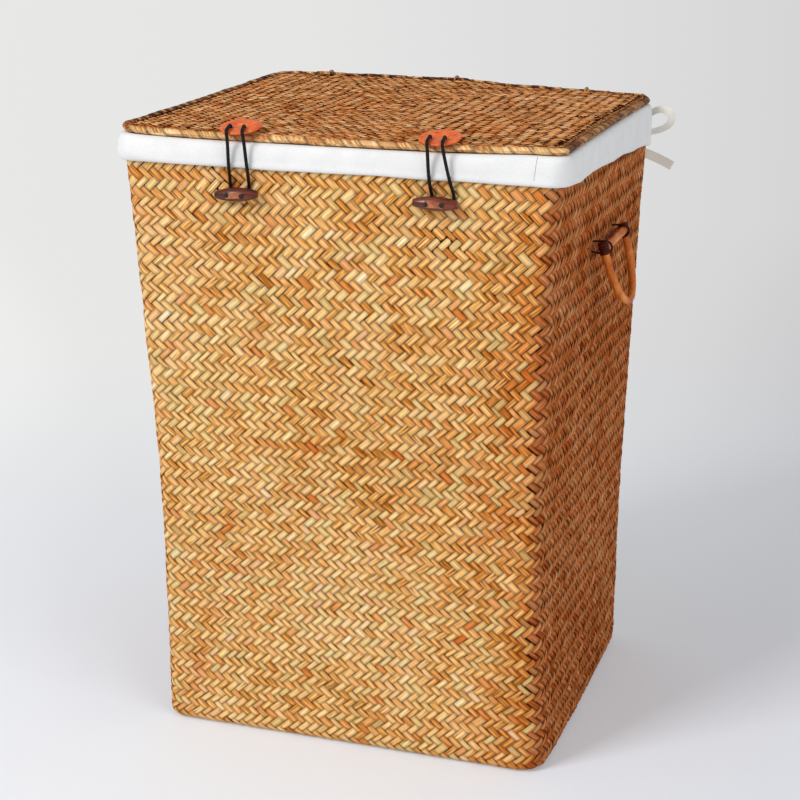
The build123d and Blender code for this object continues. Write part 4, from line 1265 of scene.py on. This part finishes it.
# %% Frame wire
# Mild steel under thin dark lacquer: half shiny, browner where it is scratched.
GRIME_SIZE = 4.0 * MM
steel, steel_tree, steel_shader = start_material("lacquered_wire", Roughness=0.45, Metallic=0.4)
where = add_node(steel_tree, "TexCoord")
grime = add_node(steel_tree, "TexNoise", {"Vector": where.outputs["Object"],
                                          "Scale": 1 / GRIME_SIZE, "Detail": 3.0})
steel_tint = set_ramp(add_node(steel_tree, "ValToRGB", {"Fac": grime.outputs["Fac"]}),
                      ((0.35, "#3A332E"), (0.7, "#6A625B")))
feed(steel_tree, steel_shader, Base_Color=steel_tint.outputs["Color"])


def round_section(radius):
    """A plain round section of this radius, for tube_piece."""
    def section(step, turn):
        """The same radius at every step."""
        return round_about(radius, turn)
    return section


POST_RADIUS = 2.0 * MM
for corner in ("front_left", "front_right", "back_left", "back_right"):
    post_low, post_high = box_of("post_" + corner)
    way = np.array([1 if "right" in corner else -1, 1 if "back" in corner else -1])
    inner = np.minimum(np.abs(post_low[:2]), np.abs(post_high[:2])) + POST_RADIUS
    outer = np.maximum(np.abs(post_low[:2]), np.abs(post_high[:2])) - POST_RADIUS
    climb = np.linspace(0, 1, 33)[:, None]
    flat = way * (inner + (outer - inner) * climb)
    height = post_low[2] + POST_RADIUS + (post_high[2] - post_low[2] - 2 * POST_RADIUS) * climb
    line = settle(np.concatenate([flat, height], axis=1))
    rod = tube_piece("post_rod_" + corner, line, 12, round_section(POST_RADIUS), (1, 0, 0),
                     steel, "basket")
    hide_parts("post_" + corner)

# %% Lid wire
wire_low, wire_high = box_of("lid_wire")
WIRE_RADIUS = (wire_high[2] - wire_low[2]) / 2
WIRE_ROUNDING = 9 * MM
wire_mesh, share, about = unit_grid("lid_wire_ring", 240, 10)
spot, outward = loop_place(share, wire_high[0] - WIRE_RADIUS, wire_high[1] - WIRE_RADIUS, WIRE_ROUNDING)
side, rise = round_about(WIRE_RADIUS, about)
wire_points = np.concatenate([spot + outward * side[:, None],
                              (wire_low[2] + WIRE_RADIUS + rise)[:, None]], axis=1)
write_points(wire_mesh, lid_settle(wire_points))
weld(wire_mesh)
lid_wire = add_piece(wire_mesh, "lid_wire_ring", steel, "lid")
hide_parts("lid_wire")

# %% [markdown]
# ## Leather, wood, cane and cord
# The small parts are natural stuff with a fine grain: a noise, stretched along the wood or
# the cane, picks the tint and lifts the surface a little. The leather is a warm orange, the
# toggles are turned from dark wood and waxed, and the cane is varnished.

# %% Materials of the small parts


def grained(name, stops, grain_size, stretch, roughness, bump_size, coat=0.0, shine=0.5):
    """Wood, leather or cane: a stretched noise through a ramp, with a matching bump."""
    material, tree, shader = start_material(name, Roughness=roughness, Coat_Weight=coat,
                                            Coat_Roughness=0.15, Specular_IOR_Level=shine)
    where = add_node(tree, "TexCoord")
    shape = add_node(tree, "Mapping", {"Vector": where.outputs["Object"], "Scale": stretch})
    noise = add_node(tree, "TexNoise", {"Vector": shape.outputs[0], "Scale": 1 / (grain_size * MM),
                                        "Detail": 4.0, "Roughness": 0.6})
    tint = set_ramp(add_node(tree, "ValToRGB", {"Fac": noise.outputs["Fac"]}), stops)
    bump = add_node(tree, "Bump", {"Height": noise.outputs["Fac"], "Strength": 0.4,
                                   "Distance": bump_size * MM})
    feed(tree, shader, Base_Color=tint.outputs["Color"], Normal=bump.outputs[0])
    return material


def dress(material, slot_name, *names):
    """Gives CAD nodes their material."""
    for name in names:
        nodes[name].data.materials.clear()
        nodes[name].data.materials.append(material)


# Thick orange leather with a soft grain and a dull shine.
button_leather = grained("button_leather", ((0.3, "#C04410"), (0.5, "#DE5E1A"), (0.72, "#EA8136")),
                         6.25, (1, 1, 1), 0.42, 0.4)
# The thongs are thinner and browner, matt from handling.
thong_leather = grained("thong_leather", ((0.3, "#6E3218"), (0.55, "#A45A2E"), (0.75, "#C07C4A")),
                        4.545, (1, 1, 1), 0.5, 0.3)
# Dark turned wood, waxed: long grain along the toggle under a thin clear coat.
toggle_wood = grained("toggle_wood", ((0.32, "#220803"), (0.5, "#4C1A0B"), (0.72, "#7C371B")),
                      6.667, (0.18, 1, 1), 0.3, 0.2, coat=0.35, shine=0.25)
# Varnished cane: orange brown, long streaks, a little gloss.
rattan = grained("rattan", ((0.3, "#94400F"), (0.5, "#C2661F"), (0.7, "#DC8F42")),
                 8.333, (1, 0.35, 0.35), 0.45, 0.2, coat=0.06, shine=0.2)
# Dark brown waxed cord, which nearly loses its shape in shadow.
lashing_brown = grained("lashing_cord", ((0.3, "#210603"), (0.6, "#4C160A"), (0.8, "#702C18")),
                        2.381, (1, 1, 1), 0.5, 0.4, shine=0.12)
# Undyed twine, quite matt.
twine = grained("hinge_twine", ((0.3, "#8A5A2C"), (0.6, "#BD8B51"), (0.8, "#D6AC74")),
                2.0, (1, 1, 1), 0.7, 0.4)
# Painted shade inside a cord hole: nearly black, so that it reads as depth.
hole_shadow = grained("hole_shadow", ((0.3, "#120704"), (0.7, "#2A110A")), 3.333, (1, 1, 1), 0.8, 0.2)
dress(toggle_wood, "toggle_wood", "toggle_left", "toggle_right")
dress(thong_leather, "thong_leather", "toggle_thong_left", "toggle_thong_right",
      "toggle_washer_left", "toggle_washer_right")
dress(elastic_black, "elastic_cord", "elastic_knot_left", "elastic_knot_right")
dress(steel, "steel_wire", "rim_wire", "base_wire", "base_braces")

# %% [markdown]
# ## Ties of the hinge
# Three loops of twine hold the lid to the rim at the back. Each comes out of the cuff, goes
# over the lid's rolled edge and back in, and sits where the arched edge is at that place.

# %% Ties of the hinge
TIE_RADIUS, TIE_LEAN = 0.95 * MM, 0.4 / 5.9      # how far a loop leans sideways as it goes back
TIE_ROUTE = (
    # back from the middle of the lid's rolled edge, and up: out of the cuff, over the roll and in
    (-3.0, -11.0), (-5.4, -5.5), (-5.9, 0.0), (-5.4, 4.8), (0.0, 6.0), (5.4, 4.8), (5.9, 0.0),
    (5.4, -5.5), (3.0, -11.0),
)
for place_name in ("left", "middle", "right"):
    tie_low, tie_high = box_of("hinge_tie_" + place_name)
    over_edge = [(tie_low[0] + tie_high[0]) / 2, ROLL_HALF[1], roll_low[2] + ROLL_TALL + ROLL_PROUD]
    centre = lid_settle(np.array([over_edge]))[0]
    loop = smooth_line("tie", [tuple(centre + np.array([TIE_LEAN * back, back, up]) * MM)
                               for back, up in TIE_ROUTE])
    tie = tube_piece("hinge_loop_" + place_name, loop, 12, round_section(TIE_RADIUS), (1, 0, 0),
                     twine, "basket")
    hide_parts("hinge_tie_" + place_name)

# %% [markdown]
# ## Leather buttons and toggle eyes
# Each closing cord goes through two holes in a thick leather disc. The disc leans forward
# with the lid's edge. Behind its middle the leather has a short crease, and its rim is
# rounded by wear. The mouths of the holes, and those of the toggles' own holes, are small
# dark balls set into the surface as painted shade: at this size only their darkness is seen.

# %% Buttons
BUTTON_RADIUS, BUTTON_THICKNESS = 18 * MM, 3.2 * MM
BUTTON_TILT = math.radians(11)
BUTTON_FORWARD = 2.4 * MM         # the disc lies this much nearer the front than the model's own
BUTTON_LEFT = 1.5 * MM            # and this much further to the left
BUTTON_WEAR = 1.1 * MM            # how far the rim is rounded down
LEATHER_THICKNESS = 2.3 * MM      # from the disc's face downwards
HOLE_AHEAD = 6.5 * MM             # of the disc's middle
HOLE_HALF_SPACING, HOLE_SHIFT = 6.25 * MM, -0.1 * MM
HOLE_DEPTH = 0.7 * MM
CREASE_BACK, CREASE_SHIFT = 1.5 * MM, 3 * MM     # from the disc's middle, backwards and sideways
CREASE_DEPTH, CREASE_WIDTH = 0.9 * MM, 1.3 * MM
CREASE_HALF_LENGTH, CREASE_FADE = 9.5 * MM, 3 * MM
BUTTON_EYE = np.array([2.5, 2.3, 0.9]) * MM
TOGGLE_EYE = np.array([2.2, 1.3, 2.4]) * MM
TOGGLE_HOLE, TOGGLE_FRONT, TOGGLE_LEAN = 6.6, 5.9, 0.10              # in millimetres, from its middle


def shade_eye(name, place, half_sizes, tilt, body):
    """Painted shade in the mouth of a cord hole: a small dark flattened ball set into its piece."""
    mesh, ball = unit_ball(name, 20, 12)
    cosine, sine = math.cos(tilt), math.sin(tilt)
    lean = np.array([[1, 0, 0], [0, cosine, -sine], [0, sine, cosine]])
    write_points(mesh, (ball * half_sizes) @ lean.T + np.asarray(place))
    add_piece(mesh, name, hole_shadow, body)


def button(side):
    """A leather disc that leans forward, with a crease behind its middle and two dark eyes."""
    low, high = box_of("button_" + side)
    mesh, u, v = unit_grid("button_disc_" + side, 56, 56)
    u, v = 2 * u - 1, 2 * v - 1
    disc_x = BUTTON_RADIUS * u * np.sqrt(1 - v ** 2 / 2)
    disc_y = BUTTON_RADIUS * v * np.sqrt(1 - u ** 2 / 2)
    reach = np.hypot(disc_x, disc_y) / BUTTON_RADIUS
    lump = wave(np.stack([disc_x, disc_y, np.full(len(u), low[0])], axis=1), 71, (0.016, 0.009),
                0.22 * MM)
    crease = np.exp(-((disc_y - CREASE_BACK) / CREASE_WIDTH) ** 2)
    crease *= np.clip((CREASE_HALF_LENGTH - np.abs(disc_x - CREASE_SHIFT)) / CREASE_FADE, 0, 1)
    corner_shade = BUTTON_WEAR * np.clip((reach - 0.86) / 0.14, 0, 1) ** 2
    disc_z = BUTTON_THICKNESS / 2 + lump * (1 - reach ** 4) - CREASE_DEPTH * crease - corner_shade
    cosine, sine = math.cos(BUTTON_TILT), math.sin(BUTTON_TILT)
    middle = (low + high) / 2 - np.array([BUTTON_LEFT, BUTTON_FORWARD * cosine, BUTTON_FORWARD * sine])

    def tilted(x, y, z):
        """A place on the disc, turned with it and set on the lid."""
        return np.stack([middle[0] + x, middle[1] + y * cosine - z * sine,
                         middle[2] + y * sine + z * cosine], axis=-1)

    write_points(mesh, tilted(disc_x, disc_y, disc_z))
    piece = add_piece(mesh, "button_disc_" + side, button_leather, "lid")
    thicken(piece, LEATHER_THICKNESS)
    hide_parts("button_" + side)
    for index, step in enumerate((-1, 1)):
        mouth = tilted(HOLE_SHIFT + step * HOLE_HALF_SPACING, -HOLE_AHEAD,
                       BUTTON_THICKNESS / 2 - HOLE_DEPTH)
        shade_eye("button_hole_" + side + "_" + str(index), mouth, BUTTON_EYE, BUTTON_TILT, "lid")
    print("button", side, "middle in mm", np.round(middle / MM, 1))


button("left")
button("right")

# %% Eyes of the toggles
for side in ("left", "right"):
    low, high = box_of("toggle_" + side)
    for index, step in enumerate((-1, 1)):
        lean = TOGGLE_LEAN * step * (-1 if side == "left" else 1)
        mouth = (low + high) / 2 + np.array([step * TOGGLE_HOLE, -TOGGLE_FRONT, lean]) * MM
        shade_eye("toggle_eye_" + side + "_" + str(index), mouth, TOGGLE_EYE, 0.0, "toggle_" + side)

# %% [markdown]
# ## Rattan grips
# A length of cane was steamed and bent into a U, with a straight bar of cane tied across its
# legs. Each joint is wound with one dark cord: a tube round the leg whose radius rises and
# falls with the cord's own round back. Two loops of cord and one behind the bar keep the
# grip on the wall, and it swings on its bar.

# %% Grips
BAR_RADIUS, BOW_RADIUS = 3.8 * MM, 3.45 * MM
LEG_OFFSET = 42 * MM
LASHING_CORE = BOW_RADIUS + 0.05 * MM
LASHING_CORD = 1.3 * MM
LASHING_TURNS = 5
LASHING_SPAN = (-5.0 * MM, 5.9 * MM)
KEEPER_RADIUS, KEEPER_OFFSET = 0.95 * MM, 36.0 * MM
KEEPER_CORD = (3.7 * MM, 3.5 * MM)               # from the bar's middle: towards the wall, and up
KEEPER_ROUTE = (
    # out from the bar's middle, and up: from the wall, round the bar and back into the wall
    (-13.0, -4.4), (-8.0, -5.2), (-2.0, -5.6), (3.6, -5.4), (6.4, 0.0), (3.6, 5.4), (-2.0, 5.6),
    (-8.0, 5.2), (-13.0, 4.4),
)
GRIP_TILT = math.radians(16)
GRIP_MIDDLE = -8 * MM             # from the middle of the basket's end, towards the front
BOW_ROUTE = (
    # along the basket's end, and up the grip's own plane from its bar
    (-42, 5.2), (-42, -8), (-39, -27), (-27, -46), (-10, -56), (0, -56.5), (10, -56), (27, -46),
    (39, -27), (42, -8), (42, 5.2),
)


def wound_section(steps):
    """One cord wound round a leg that is this many steps long; thinner at its two ends."""
    def section(step, turn):
        """The radius follows the cord's own round back."""
        phase = step / steps * LASHING_TURNS + turn
        back = np.sqrt(np.clip(1 - (2 * (phase - np.floor(phase)) - 1) ** 2, 0, 1))
        end = np.clip(np.minimum(step, steps - step) / 3, 0, 1)
        cord = LASHING_CORD * (0.25 + 0.75 * back) * (0.35 + 0.65 * end)
        return round_about(LASHING_CORE + cord, turn)
    return section


def cane_section(cane_radius):
    """Cane is nearly round, with a slow swelling along it."""
    def section(step, turn):
        """A little thicker and thinner along the cane, and a little oval."""
        oval = 0.015 * np.cos(4 * math.pi * turn)
        return round_about(cane_radius * (1 + 0.02 * np.sin(step * 0.21) + oval), turn)
    return section


ACROSS_GRIP = np.array([0.0, 1.0, 0.0])          # along a grip's bar
BAR_REACH = LEG_OFFSET - BOW_RADIUS + 0.2 * MM


def grip(side, way):
    """One grip: its bar, its bow, the cord wound round its joints, and the cord that keeps it."""
    own_body = "grip_" + side
    bar_low, bar_high = box_of("grip_bar_" + side)
    pivot = np.array([(bar_low[0] + bar_high[0]) / 2, GRIP_MIDDLE, (bar_low[2] + bar_high[2]) / 2])
    leg_up = np.array([-way * math.sin(GRIP_TILT), 0.0, math.cos(GRIP_TILT)])

    route = [tuple(pivot + ACROSS_GRIP * y * MM + leg_up * rise * MM) for y, rise in BOW_ROUTE]
    bow_line = smooth_line("grip_cane_" + side, route)
    bow = tube_piece("grip_cane_" + side, bow_line, 20, cane_section(BOW_RADIUS), (1, 0, 0), rattan,
                     own_body)
    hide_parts("grip_bow_" + side)
    bar_line = pivot + ACROSS_GRIP * np.linspace(-BAR_REACH, BAR_REACH, 41)[:, None]
    bar = tube_piece("grip_rod_" + side, bar_line, 20, cane_section(BAR_RADIUS), (1, 0, 0), rattan,
                     own_body)
    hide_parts("grip_bar_" + side)

    behind = pivot + np.array([-way * KEEPER_CORD[0], 0.0, KEEPER_CORD[1]])
    cord_line = behind + ACROSS_GRIP * np.linspace(-KEEPER_OFFSET, KEEPER_OFFSET, 31)[:, None]
    cord = tube_piece("grip_cord_" + side, cord_line, 12, round_section(KEEPER_RADIUS), (1, 0, 0),
                      lashing_brown, "basket")

    for joint, across in (("front", -LEG_OFFSET), ("back", LEG_OFFSET)):
        leg = pivot + ACROSS_GRIP * across + leg_up * np.linspace(*LASHING_SPAN, 57)[:, None]
        lashing = tube_piece("lashing_" + side + "_" + joint, leg, 28, wound_section(len(leg) - 1),
                             (0, 1, 0), lashing_brown, own_body)
        inward = ACROSS_GRIP * across * KEEPER_OFFSET / LEG_OFFSET
        loop = smooth_line("keeper_cord", [tuple(pivot + np.array([way * out, 0.0, up]) * MM + inward)
                                           for out, up in KEEPER_ROUTE])
        keeper = tube_piece("keeper_" + side + "_" + joint, loop, 12, round_section(KEEPER_RADIUS),
                            (0, 1, 0), lashing_brown, "basket")
        if joint == "front":
            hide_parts("grip_lashings_" + side)
            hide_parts("grip_keepers_" + side)
    print("grip", side, "hangs on its bar at", np.round(pivot, 4))


grip("left", -1)
grip("right", 1)

low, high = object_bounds()
